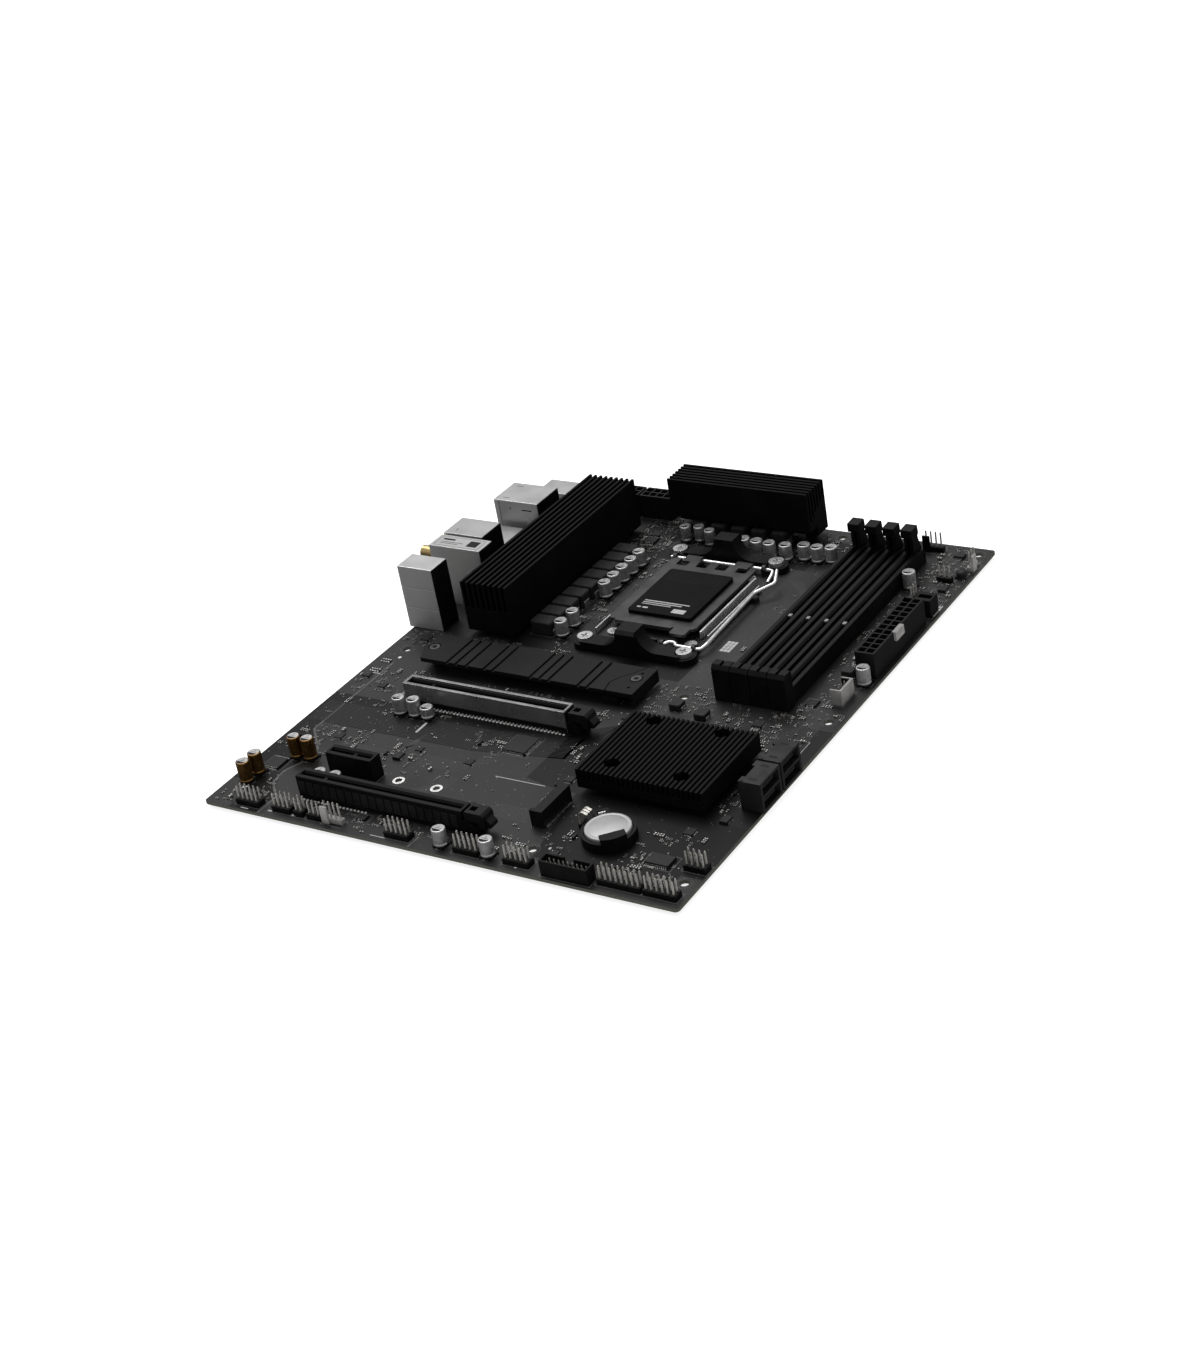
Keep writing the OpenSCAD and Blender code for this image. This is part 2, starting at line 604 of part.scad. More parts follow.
// Steel sleeve around a long slot, with legs between its lower notches.
module slot_armour() difference() {
    gap = 0.05;
    wall = gap + armour_t;
    block([-wall, -slot_w / 2 - wall, 0.4], [long_slot - 0.4, slot_w / 2 + wall, slot_h + wall]);
    block([-gap, -slot_w / 2 - gap, -1], [long_slot + 1, slot_w / 2 + gap, slot_h + gap]);
    block([0.9, -slot_w / 2 + 1.1, slot_h - 1], [long_slot - 1.5, slot_w / 2 - 1.1, slot_h + 2]);
    for (x0 = [16, 42, 67]) block([x0, -slot_w, -1], [x0 + 7, slot_w, 3.2]);
}

module graphics_slot() color(black) on_board()
    translate([slot_x0, graphics_y, 0]) card_slot(long_slot, true);
module graphics_slot_armour() color(steel) on_board()
    translate([slot_x0, graphics_y, 0]) slot_armour();
module graphics_latch() color(charcoal) on_board()
    translate([slot_x0, graphics_y, 0]) card_latch(long_slot);
module lower_slot() color(black) on_board() difference() {
    translate([slot_x0, lower_y, 0]) card_slot(long_slot, true);
    // Recesses between the side ribs.
    for (i = [0 : 19], s = [-1, 1])
        translate([slot_x0 + 2.6 + i * 4.3, lower_y + s * (slot_w / 2 + 0.4), slot_h / 2])
            cube([2.6, 1.6, slot_h - 3], center = true);
}
module lower_latch() color(charcoal) on_board()
    translate([slot_x0, lower_y, 0]) card_latch(long_slot);
module short_card_slot() color(black) on_board()
    translate([slot_x0 + 1, short_y, 0]) card_slot(short_slot, false);

// ---------- drive and chipset cooling ----------

drive_base_z = 5.4;
drive_pad_z = 3.4;
drive_lo = [28, 125.2];
drive_hi = [134, 148];
drive_split = 14.5;

module drive_heatsink() color(black) on_board() difference() {
    union() {
        translate([0, 0, drive_base_z]) linear_extrude(drive_sink_z - drive_base_z) polygon([
            [drive_lo[0] + 3, drive_lo[1]], [drive_hi[0], drive_lo[1]], [drive_hi[0] - 1.5, 132],
            [drive_hi[0] + 1, 137], [drive_hi[0] + 5, 142], [drive_hi[0] + 9, drive_hi[1]],
            [drive_lo[0], drive_hi[1]], [drive_lo[0], drive_lo[1] + 7]]);
        post(drive_screws_at[0], 0, drive_base_z + tiny, 3);
    }
    // Cross grooves in groups.
    for (x = [46, 51, 57, 67, 72, 93, 98, 103, 119, 124])
        block([x, drive_lo[1] - 1, drive_sink_z - 0.9], [x + 1.3, drive_hi[1] + 1, drive_sink_z + 1]);
    post(drive_screws_at[0], -1, 20, small_screw_r + 0.05);
    post(drive_screws_at[0], drive_sink_z - 1.4, 20, 3);
}

module drive_heatsink_end() color(black) on_board() difference() {
    union() {
        translate([0, 0, drive_base_z]) linear_extrude(drive_sink_z - drive_base_z) polygon([
            [drive_hi[0] + 0.4, drive_lo[1]], [drive_hi[0] + drive_split, drive_lo[1]],
            [drive_hi[0] + drive_split, drive_hi[1]], [drive_hi[0] + 9.5, drive_hi[1]],
            [drive_hi[0] + 5.5, 142], [drive_hi[0] + 1.5, 137], [drive_hi[0] - 1, 132]]);
        post(drive_screws_at[1], 0, drive_base_z + tiny, 3);
        block([drive_hi[0] + drive_split - 1.2, drive_lo[1], 1.5],
            [drive_hi[0] + drive_split, drive_hi[1], drive_base_z + tiny]);
    }
    post(drive_screws_at[1], -1, 20, small_screw_r + 0.05);
    post(drive_screws_at[1], drive_sink_z - 1.2, 20, 3);
    for (y = [130.3, 142.8]) post([143.7, y], drive_base_z - 1, 20, 0.7);
}

chipset_h = 2.4;
chipset_base_z = 3;
chipset_lo = [161, 59];
chipset_hi = [223, 108];

module chipset_heatsink() color(black) on_board() difference() {
    union() {
        block([chipset_lo[0], chipset_lo[1], chipset_base_z],
            [chipset_hi[0], chipset_hi[1], chipset_sink_z]);
        for (p = chipset_screws_at) post(p, 0, chipset_base_z + tiny, 2.8);
    }
    pitch = (chipset_hi[0] - chipset_lo[0] - fin_t) / (chipset_fins - 1);
    for (i = [0 : chipset_fins - 2])
        block([chipset_lo[0] + fin_t + i * pitch, chipset_lo[1] - 1, 7],
            [chipset_lo[0] + (i + 1) * pitch, chipset_hi[1] + 1, chipset_sink_z + 1]);
    for (p = chipset_screws_at) post(p, 6.4, 20, 3.3);
    for (p = chipset_screws_at) post(p, -1, 20, small_screw_r + 0.05);
}

module chipset() color(charcoal) on_board() {
    block([180, 71, 0], [204, 95, 0.9]);
    block([186, 77, 0.9], [198, 89, chipset_h]);
}

module heatsink_screws() color(charcoal) on_board() {
    for (p = concat(left_sink_screws_at, top_sink_screws_at)) {
        post(p, -board_t - 1.5, -board_t, 2.7);
        post(p, -board_t - tiny, 4, small_screw_r);
    }
    for (p = chipset_screws_at) screw(p, 6.4, -board_t, 2.7, 1.4, small_screw_r);
    screw(drive_screws_at[0], drive_sink_z - 1.4, 0, 2.6, 1.2, small_screw_r);
    screw(drive_screws_at[1], drive_sink_z - 1.2, 0, 2.6, 1.4, small_screw_r);
}

// Edge socket for a flat storage drive; its mouth faces the rear.
module drive_socket(at, w, h) translate([at[0], at[1], 0]) difference() {
    block([0, -11, 0], [w, 11, h]);
    block([-1, -10, 1.4], [0.62 * w, 10, 2.6]);
    block([-1, -9, 2.6], [1.6, 9, h + 1]);
}

module drive_sockets() color(black) on_board() {
    drive_socket([131.4, 136.4], 8.4, 4.2);
    drive_socket([155.2, 42], 6.4, 8);
}

// ---------- drive ports, battery ----------

sata_x = [234, 244.54];
sata_h = 14;
sata_w = 16.4;

// Two data ports, one above the other; their mouths face the front edge.
module sata_ports(y0) difference() {
    block([sata_x[0], y0, 0], [sata_x[1], y0 + sata_w, sata_h]);
    for (z = [1.2, 7.6]) difference() {
        block([sata_x[0] + 3.4, y0 + 1.4, z], [sata_x[1] + 1, y0 + sata_w - 1.4, z + 5.2]);
        translate([sata_x[0] + 3, y0 + 3.2, z + 1.7]) cube([6, sata_w - 6.4, 1.4]);
        translate([sata_x[0] + 3, y0 + 3.2, z + 1.7]) cube([6, 1.4, 3]);
    }
    block([sata_x[0] - 1, y0 + 4, 4], [sata_x[0] + 1.5, y0 + sata_w - 4, sata_h + 1]);
}

module sata_ports_near() color(black) on_board() sata_ports(69.6);
module sata_ports_far() color(black) on_board() sata_ports(87.2);

battery_at = [192, 34];
coin_z = 2.7;
holder_r = 11.8;
tilt_u = 6.4;            // from the cell's middle to the line it tilts about, towards the lip
lip_top_z = coin_z + coin_t + 1.1;

module battery_holder() color(black) on_board() translate([battery_at[0], battery_at[1], 0])
    difference() {
        union() {
            cylinder(r = holder_r, h = 4.6);
            rotate([0, 0, 135]) translate([holder_r - 4.4, -3.4, 0]) cube([7, 6.8, 5.4]);
            // Tall side whose lip reaches over the cell.
            intersection() {
                cylinder(r = holder_r, h = lip_top_z);
                rotate([0, 0, -45]) translate([tilt_u + 0.2, -5.5, 0]) cube([10, 11, lip_top_z]);
            }
        }
        translate([0, 0, 1.4]) cylinder(r = coin_d / 2 + 0.4, h = coin_z + coin_t + 0.25 - 1.4);
        difference() {
            cylinder(r = coin_d / 2 + 0.4, h = 20);
            rotate([0, 0, -45]) translate([tilt_u + 0.2, -15, -1]) cube([20, 30, 30]);
            translate([0, 0, -1]) cylinder(r = 30, h = 2.4);
        }
        rotate([0, 0, 135]) translate([coin_d / 2 - 1, -1.9, 1.4]) cube([4.4, 3.8, 10]);
    }

module battery_contact() color(steel) on_board() translate([battery_at[0], battery_at[1], 0]) {
    translate([-7, -1.5, 1.4]) cube([14, 3, 0.5]);
    rotate([0, 0, 135]) translate([coin_d / 2 + 0.5, -1.6, 1.4]) cube([0.5, 3.2, 5]);
}

module coin_cell() color(steel) on_board() translate([battery_at[0], battery_at[1], coin_z])
    rotate_extrude() polygon([
        [0, 0], [coin_d / 2 - 1.6, 0], [coin_d / 2 - 1, 0.5], [coin_d / 2, 0.9],
        [coin_d / 2, coin_t - 0.3], [coin_d / 2 - 0.3, coin_t], [0, coin_t]]);

// ---------- power connectors and headers ----------

power_pitch = 4.2;

// Body of a two-row power connector; rows run along Y, and latch is the side of the ramp.
module power_connector(at, cells, h, ramp) translate([at[0], at[1], 0]) {
    length = cells * power_pitch + 1.2;
    width = 2 * power_pitch + 1.2;
    difference() {
        block([0, 0, 0], [width, length, h]);
        for (i = [0 : cells - 1], j = [0, 1])
            translate([0.6 + (j + 0.5) * power_pitch, 0.6 + (i + 0.5) * power_pitch, 1.4 + h / 2])
                cube([3.4, 3.4, h], center = true);
    }
    slab_y(length / 2 - ramp, length / 2 + ramp, [
        [width - tiny, h - 1.5], [width + 1.1, h - 4], [width - tiny, h - 4.4]]);
}

main_power_at = [232, 179.5];
main_power_h = 12.8;
cpu_power_h = 12.8;
cpu_power_y = 293.4;

module main_power_connector() color(charcoal) on_board()
    power_connector(main_power_at, 12, main_power_h, 4.6);

module cpu_power_connectors() color(charcoal) on_board()
    for (x = [51, 70.2]) translate([x, cpu_power_y, 0]) rotate([0, 0, 90])
        power_connector([0, 0], 4, cpu_power_h, 4.2);

pin_pitch = 2.54;
pin_w = 0.64;
base_h = 2.5;
long_pin_h = 8.6;

// Rows of upright square pins from the first pin's place.
module pin_rows(at, nx, ny, h) for (i = [0 : nx - 1], j = [0 : ny - 1])
    translate([at[0] + i * pin_pitch - pin_w / 2, at[1] + j * pin_pitch - pin_w / 2, 0])
        cube([pin_w, pin_w, h]);

module pin_base(at, nx, ny) block([at[0] - pin_pitch / 2, at[1] - pin_pitch / 2, 0],
    [at[0] + (nx - 0.5) * pin_pitch, at[1] + (ny - 0.5) * pin_pitch, base_h]);

// First pin, pins along x, pins along y.
bare_headers = [
    [17.6, 4.6, 5, 2], [37.6, 5, 4, 2], [49.8, 5, 2, 2], [57.2, 5, 3, 1], [99.2, 4.8, 5, 2],
    [134.8, 5, 5, 2], [160, 5, 5, 2], [205.4, 5.4, 8, 2], [226.8, 5.4, 6, 2],
    [233.8, 25.4, 4, 2], [227, 247, 1, 3], [230.6, 270, 3, 1]];
// Headers with a key wall: first pin, pins along x, pins along y, side of the wall.
walled_headers = [
    [66.2, 5.6, 4, 1, -1], [211.4, 297.4, 4, 1, -1], [240.4, 282.6, 1, 3, 1]];
// Small header with walls on three sides, and its row of pins.
box_header_lo = [232, 154.4];
box_header_hi = [237.6, 166.2];
box_header_h = 7.7;
box_header_pins = [234.2, 156.5, 1, 4];

module header_bases() color(black) on_board() for (h = bare_headers) pin_base([h[0], h[1]], h[2], h[3]);

key_wall_t = 1.2;
key_wall_h = 8.4;

// Fan headers: a base, and an upright key wall beside two of the pins.
module fan_headers() color(pale) on_board() {
    for (h = walled_headers) {
        half = pin_pitch / 2;
        pin_base([h[0], h[1]], h[2], h[3]);
        if (h[2] > 1) block([h[0] - half, h[1] + (h[4] > 0 ? half - tiny : -half - key_wall_t), 0],
            [h[0] + 2 * half, h[1] + (h[4] > 0 ? half + key_wall_t : -half + tiny), key_wall_h]);
        else block([h[0] + half - tiny, h[1] - half, 0],
            [h[0] + half + key_wall_t, h[1] + 2 * half, key_wall_h]);
    }
    difference() {
        block([box_header_lo[0], box_header_lo[1], 0], [box_header_hi[0], box_header_hi[1], box_header_h]);
        block([box_header_lo[0] - 1, box_header_lo[1] + 0.9, 1.8],
            [box_header_hi[0] - 1.2, box_header_hi[1] - 0.9, box_header_h + 1]);
    }
}

usb_header_lo = [178.8, 1.8];
usb_header_hi = [201.8, 7.8];
usb_header_h = 7.4;
usb_key_x = 190.3;

module usb_header() color(black) on_board() {
    difference() {
        block([usb_header_lo[0], usb_header_lo[1], 0],
            [usb_header_hi[0], usb_header_hi[1], usb_header_h]);
        block([usb_header_lo[0] + 0.8, usb_header_lo[1] + 0.8, 1.6],
            [usb_header_hi[0] - 0.8, usb_header_hi[1] - 0.8, 10]);
        block([usb_key_x - 2.2, usb_header_hi[1] - 2, 4.6], [usb_key_x + 2.2, usb_header_hi[1] + 1, 10]);
    }
    // Small upright socket near the front edge.
    difference() {
        block([233.6, 236.2, 0], [241.8, 244.2, 8.8]);
        block([234.5, 238.6, 2.4], [240.9, 241.8, 10]);
    }
}

module header_pins() color(gold) on_board() {
    for (h = bare_headers) pin_rows([h[0], h[1]], h[2], h[3], long_pin_h);
    for (h = walled_headers) pin_rows([h[0], h[1]], h[2], h[3], long_pin_h + 1.8);
    for (h = [box_header_pins]) translate([0, 0, 1.8]) pin_rows([h[0], h[1]], h[2], h[3], 5);
    for (i = [0 : 8], j = [0, 1])
        translate([usb_key_x + (i - 4) * 2.2 - 0.25, 3.5 + j * 2.2, 1.6]) cube([0.5, 0.5, 4.8]);
    for (i = [0 : 11], j = [0, 1])
        translate([main_power_at[0] + 0.6 + (j + 0.5) * power_pitch - 0.5,
            main_power_at[1] + 0.6 + (i + 0.5) * power_pitch - 0.5, 1.4]) cube([1, 1, 8]);
    for (x = [51, 70.2], i = [0 : 3], j = [0, 1])
        translate([x - 0.6 - (i + 0.5) * power_pitch - 0.5,
            cpu_power_y + 0.6 + (j + 0.5) * power_pitch - 0.5, 1.4]) cube([1, 1, 8]);
}

// ---------- rear connectors ----------

rear_x = -2.3;

jack_z = [5.8, 16.8, 27.8];
jack_seams = [0, 11.3, 22.3, 33.5];

// Three jack bodies, one above the other.
module audio_jacks() color([0.6, 0.61, 0.63]) on_board() for (i = [0 : 2]) difference() {
    union() {
        block([rear_x, 160.5, jack_seams[i] + (i > 0 ? 0.05 : 0)],
            [18.1, 173.5, jack_seams[i + 1] - (i < 2 ? 0.05 : 0)]);
        translate([rear_x - 1.2, 167, jack_z[i]]) rotate([0, 90, 0]) cylinder(r = 4, h = 1.2 + tiny);
    }
    rod_x(rear_x - 2, 12, 167, jack_z[i], 1.8);
}

shield_t = 0.5;
shield_lo = [-2, 186.6, 0];
shield_hi = [28, 198, 31.7];

module wireless_shield() color(steel) on_board() difference() {
    block(shield_lo, shield_hi);
    block(shield_lo + [shield_t, shield_t, -1], shield_hi - [shield_t, shield_t, shield_t]);
    for (z = [11, 24]) rod_x(-5, 0, 192.3, z, 2.6);
}

module wireless_module() color([0.08, 0.2, 0.1]) on_board() {
    block([2, 190, 0], [24, 191, 29]);
    block([5, 191, 6], [21, 192.6, 25]);
}

module antenna_connectors() color(gold) on_board() for (z = [11, 24]) difference() {
    union() {
        rod_x(-rear_reach, 1.2, 192.3, z, 2.5);
        rod_x(-rear_reach, -4, 192.3, z, 3.1);
        rod_x(-4, -2.05, 192.3, z, 4);
    }
    rod_x(-rear_reach - 1, -4.6, 192.3, z, 2.2);
}

// A steel box with a row of port mouths cut into its rear face.
module port_stack(lo, hi, mouths, depth) difference() {
    block(lo, hi);
    for (m = mouths) block([lo[0] - 1, m[0], m[1]], [lo[0] + depth, m[2], m[3]]);
}

// The tongue inside a port.
module tongue(lo, hi) block(lo, hi);

module network_stack() color(steel) on_board() {
    lo = [-2, 199.6, 0];
    hi = [21, 216, 32];
    port_stack(lo, hi, [
        [201.6, 2, 214.1, 7], [201.6, 9.2, 214.1, 14.2], [201.9, 18.4, 213.7, 29]], 12);
    for (z = [4.9, 12.1]) tongue([0, 202.6, z], [10 + tiny, 213.1, z + 1.6]);
}

module usb_ports() color(steel) on_board() {
    port_stack([-2, 280, 0], [16, 294, 15.6],
        [[281, 1.8, 293, 7], [281, 8.8, 293, 14]], 12);
    for (z = [4.6, 11.6]) tongue([0, 282, z], [10 + tiny, 292, z + 1.6]);
    port_stack([-2, 220.4, 0], [16, 239.6, 16.2], [[222, 2.2, 234, 7.4], [222, 9.4, 234, 14.6]], 12);
    for (z = [5.2, 12.4]) tongue([0, 223, z], [10 + tiny, 233, z + 1.6]);
    // Housing of the small push button beside the upper ports.
    difference() {
        block([-1.4, 264.4, 0], [6, 270.4, 7]);
        rod_x(-3, 3, 267.4, 3.8, 1.7);
    }
}

module bios_button() color(charcoal) on_board() rod_x(-3.4, 1.4, 267.4, 3.8, 1.6);

module display_stack() color(steel) on_board() {
    port_stack([-2, 243, 0], [24.5, 262.5, 29], [[245.2, 3.4, 260.3, 8.8], [244.8, 18, 260.7, 23.6]], 12);
    tongue([0, 247.4, 6], [10 + tiny, 258.2, 7.2]);
    tongue([0, 247, 20.6], [10 + tiny, 258.4, 22]);
}

// ---------- underside ----------

// Solder joints, one low strip for each row of leads: [x0, y0, x1, y1].
joint_rows = concat(
    [for (i = [0 : memory_slots - 1]) [memory_x(i) - 2, 151, memory_x(i) + 2, 281]],
    [[43, 99.6, 131, 103.8], [43, 18.4, 131, 22.6], [44, 38.6, 68, 42.8]],
    [[233.4, 181, 240.4, 230.4], [33.6, 295, 51, 301.8], [52.8, 295, 70, 301.8]],
    [[2, 162, 16, 172], [2, 188, 24, 197], [2, 201, 18, 214.6], [2, 222, 14, 238],
        [2, 244.4, 22, 261], [2, 281.4, 14, 292.6]],
    [for (h = bare_headers) [h[0] - 0.9, h[1] - 0.9,
        h[0] + (h[2] - 1) * pin_pitch + 0.9, h[1] + (h[3] - 1) * pin_pitch + 0.9]],
    [[180.8, 3, 199.8, 6.6]]);

module solder_joints() color(steel) on_board() for (r = joint_rows)
    block([r[0], r[1], -board_top], [r[2], r[3], -board_t]);

pcb();
backplate();
socket_housing();
socket_contacts();
socket_frame();
socket_screws();
hinge_wire();
load_plate();
load_lever();
socket_cap();
cooler_bracket_near();
cooler_bracket_far();
vrm_heatsink_left();
vrm_heatsink_top();
thermal_pads();
power_stages();
chips();
chokes();
can_capacitors();
audio_capacitors();
memory_slot_1();
memory_slot_2();
memory_slot_3();
memory_slot_4();
memory_latch_1();
memory_latch_2();
memory_latch_3();
memory_latch_4();
graphics_slot();
graphics_slot_armour();
graphics_latch();
lower_slot();
lower_latch();
short_card_slot();
drive_heatsink();
drive_heatsink_end();
heatsink_screws();
drive_sockets();
chipset_heatsink();
chipset();
sata_ports_near();
sata_ports_far();
battery_holder();
battery_contact();
coin_cell();
main_power_connector();
cpu_power_connectors();
header_bases();
fan_headers();
header_pins();
usb_header();
audio_jacks();
wireless_shield();
wireless_module();
antenna_connectors();
network_stack();
usb_ports();
display_stack();
bios_button();
solder_joints();
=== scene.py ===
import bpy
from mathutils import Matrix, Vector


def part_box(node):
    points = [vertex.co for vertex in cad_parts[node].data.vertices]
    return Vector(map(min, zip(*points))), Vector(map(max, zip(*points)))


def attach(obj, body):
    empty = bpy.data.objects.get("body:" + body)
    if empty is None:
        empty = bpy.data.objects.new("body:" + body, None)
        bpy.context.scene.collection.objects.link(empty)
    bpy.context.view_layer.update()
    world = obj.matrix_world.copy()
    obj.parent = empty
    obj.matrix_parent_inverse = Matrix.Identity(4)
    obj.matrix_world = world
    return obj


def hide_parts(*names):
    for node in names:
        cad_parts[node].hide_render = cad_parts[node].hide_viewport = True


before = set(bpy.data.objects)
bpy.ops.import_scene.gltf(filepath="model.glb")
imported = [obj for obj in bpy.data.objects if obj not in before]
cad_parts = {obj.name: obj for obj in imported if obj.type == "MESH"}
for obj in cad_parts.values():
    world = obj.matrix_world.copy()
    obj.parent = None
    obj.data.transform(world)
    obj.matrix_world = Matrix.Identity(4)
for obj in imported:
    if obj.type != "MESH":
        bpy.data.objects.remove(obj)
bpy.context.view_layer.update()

# Looks of a full-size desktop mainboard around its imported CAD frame. Lengths are board
# millimetres until they reach a mesh: x runs from the rear edge to the front edge, y from the
# lower edge to the edge with the processor power connectors, z = 0 is the board's upper face.

import math
import random

import bpy
from mathutils import Matrix, Vector

MM = 0.001
BOARD_T = 1.6
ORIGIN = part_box("pcb")[0] + Vector((0, 0, BOARD_T * MM))
BOARD_W, BOARD_L = ((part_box("pcb")[1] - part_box("pcb")[0]) / MM)[:2]
dice = random.Random(7)


def at(x, y, z=0.0):
    """A board point in the frame's metres."""
    return ORIGIN + Vector((x, y, z)) * MM


def islands(node):
    """The board-millimetre boxes, (low, high), of the separate solids in a CAD node."""
    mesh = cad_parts[node].data
    parent = {}

    def root(k):
        while parent[k] != k:
            parent[k] = parent[parent[k]]
            k = parent[k]
        return k

    keys = [tuple(round(c * 2e6) for c in v.co) for v in mesh.vertices]
    for k in keys:
        parent.setdefault(k, k)
    for face in mesh.polygons:
        first, *rest = (keys[i] for i in face.vertices)
        for k in rest:
            parent[root(k)] = root(first)
    boxes = {}
    for vertex, k in zip(mesh.vertices, keys):
        p = (vertex.co - ORIGIN) / MM
        lo, hi = boxes.setdefault(root(k), ([1e9] * 3, [-1e9] * 3))
        for a in range(3):
            lo[a], hi[a] = min(lo[a], p[a]), max(hi[a], p[a])
    return sorted((tuple(round(c, 3) for c in lo), tuple(round(c, 3) for c in hi))
                  for lo, hi in boxes.values())


def link(name, data):
    """A new object in the scene."""
    made = bpy.data.objects.new(name, data)
    bpy.context.scene.collection.objects.link(made)
    return made


# ---------- materials ----------


def remapped(tree, value, before, after):
    """A node value moved from one range to another, each given as (low, high)."""
    node = tree.nodes.new("ShaderNodeMapRange")
    for name, limit in zip(("From Min", "From Max", "To Min", "To Max"), before + after):
        node.inputs[name].default_value = limit
    tree.links.new(value, node.inputs["Value"])
    return node.outputs["Result"]


def surface(name, dark, light, rough, metal=0.0, spec=0.5, patch=9.0, grain=0.2,
            stretch=(1, 1, 1), bump=0.006, spread=0.08, edge=None):
    """A procedural finish for one of the record's material slots: colour between dark and light
    by a patchy and a fine noise, whose sizes are in millimetres, roughness varied by spread, and
    a fine bump in millimetres. Upright faces turn to the edge colour, where there is one."""
    made = bpy.data.materials.new(name)
    made.use_nodes = True
    nodes, links = made.node_tree.nodes, made.node_tree.links
    shader = nodes["Principled BSDF"]
    shader.inputs["Metallic"].default_value = metal
    shader.inputs["Specular IOR Level"].default_value = spec
    place = nodes.new("ShaderNodeTexCoord").outputs["Object"]

    def noise(size, detail, along=(1, 1, 1)):
        mapping = nodes.new("ShaderNodeMapping")
        mapping.inputs["Scale"].default_value = [1 / (size * MM * a) for a in along]
        links.new(place, mapping.inputs["Vector"])
        texture = nodes.new("ShaderNodeTexNoise")
        texture.inputs["Scale"].default_value = 1.0
        texture.inputs["Detail"].default_value = detail
        links.new(mapping.outputs["Vector"], texture.inputs["Vector"])
        return texture.outputs["Fac"]

    def spread_out(value, low, high):
        return remapped(made.node_tree, value, (0.32, 0.68), (low, high))

    def mix(share, a, b):
        mixer = nodes.new("ShaderNodeMix")
        mixer.data_type = "RGBA"
        for socket, value in zip((mixer.inputs[0], mixer.inputs[6], mixer.inputs[7]), (share, a, b)):
            if isinstance(value, tuple):
                socket.default_value = (*value, 1.0)
            elif isinstance(value, float):
                socket.default_value = value
            else:
                links.new(value, socket)
        return mixer.outputs[2]

    broad, fine = noise(patch, 3.0), noise(grain, 2.0, stretch)
    colour = mix(spread_out(broad, 0.0, 1.0), dark, light)
    colour = mix(spread_out(fine, 0.0, 0.45), colour, dark)
    if edge:
        facing = nodes.new("ShaderNodeSeparateXYZ")
        links.new(nodes.new("ShaderNodeNewGeometry").outputs["Normal"], facing.inputs[0])
        upright = nodes.new("ShaderNodeMath")
        upright.operation = "ABSOLUTE"
        links.new(facing.outputs["Z"], upright.inputs[0])
        colour = mix(upright.outputs[0], edge, colour)
    links.new(colour, shader.inputs["Base Color"])
    links.new(spread_out(broad, rough - spread, rough + spread), shader.inputs["Roughness"])
    bumped = nodes.new("ShaderNodeBump")
    bumped.inputs["Strength"].default_value = 1.0
    bumped.inputs["Distance"].default_value = bump * MM
    links.new(fine, bumped.inputs["Height"])
    links.new(bumped.outputs["Normal"], shader.inputs["Normal"])
    return made


def grey(level, warm=0.0):
    return (level * (1 + warm), level, level * (1 - warm))


mask = surface("solder_mask", grey(0.0085), grey(0.0135), 0.42, spec=0.26, patch=26, grain=0.5,
               bump=0.004, edge=(0.075, 0.072, 0.058))
mask_line = surface("masked_copper", grey(0.026), grey(0.034), 0.4, spec=0.3, patch=7, grain=0.4,
                    bump=0.003)
mask_dark = surface("masked_band", grey(0.0025), grey(0.0045), 0.46, spec=0.13, patch=30,
                    grain=0.5, bump=0.004)
mask_plane = surface("masked_plane", grey(0.016), grey(0.022), 0.4, spec=0.28, patch=26, grain=0.5,
                     bump=0.004, edge=(0.02, 0.02, 0.02))
# Darker mask for the fields of painted shade, where tall parts shadow the board.
painted_shade_mask = surface("painted_shade_on_mask", grey(0.0036), grey(0.0060), 0.44, spec=0.15, patch=30,
                    grain=0.5, bump=0.004)
mask_dark_line = surface("masked_band_line", grey(0.014), grey(0.021), 0.42, spec=0.22, patch=12,
                         grain=0.5, bump=0.003)
mask_gap = surface("bare_gap", grey(0.055), grey(0.075), 0.5, spec=0.35, patch=5, grain=0.4)
ink = surface("marking_ink", grey(0.34), grey(0.50), 0.7, spec=0.3, patch=1.6, grain=0.12,
              bump=0.01)
ink_dim = surface("thin_marking_ink", grey(0.12), grey(0.20), 0.7, spec=0.3, patch=1.6, grain=0.12,
                  bump=0.01)
anodised = surface("black_anodised", grey(0.0024), grey(0.0048), 0.5, spec=0.06, patch=14,
                   grain=0.22, stretch=(1, 5, 1))
anodised_x = surface("black_anodised_cross", grey(0.0024), grey(0.0048), 0.5, spec=0.055,
                     patch=14, grain=0.22, stretch=(5, 1, 1))
plate_black = surface("plate_black", grey(0.0048), grey(0.0080), 0.44, spec=0.11, patch=16,
                      grain=0.25, bump=0.004)
plate_grey = surface("blackened_plate", grey(0.048), grey(0.068), 0.36, metal=0.5, spec=0.3,
                     stretch=(6, 1, 1), bump=0.003)
plastic = surface("slot_plastic", grey(0.0030), grey(0.0060), 0.46, spec=0.11, patch=6,
                  grain=0.18, bump=0.008)
plastic_cap = surface("cap_plastic", grey(0.0022), grey(0.0040), 0.5, spec=0.05,
                      bump=0.008)
plastic_grey = surface("moulded_plastic", grey(0.0050), grey(0.0085), 0.46, spec=0.13,
                       patch=7, bump=0.01)
plastic_sheen = surface("port_plastic", grey(0.009), grey(0.014), 0.34, spec=0.24, patch=7)
plastic_pale = surface("pale_plastic", grey(0.20, 0.02), grey(0.28, 0.02), 0.5, spec=0.4,
                       patch=4, grain=0.3)
tin = surface("tinned_steel", grey(0.50), grey(0.54), 0.34, metal=0.75, spread=0.03,
              stretch=(1, 1, 14), bump=0.002)
tin_flat = surface("tinned_top", grey(0.44), grey(0.48), 0.34, metal=0.75, spread=0.03,
                   patch=11, stretch=(12, 1, 1), bump=0.002)
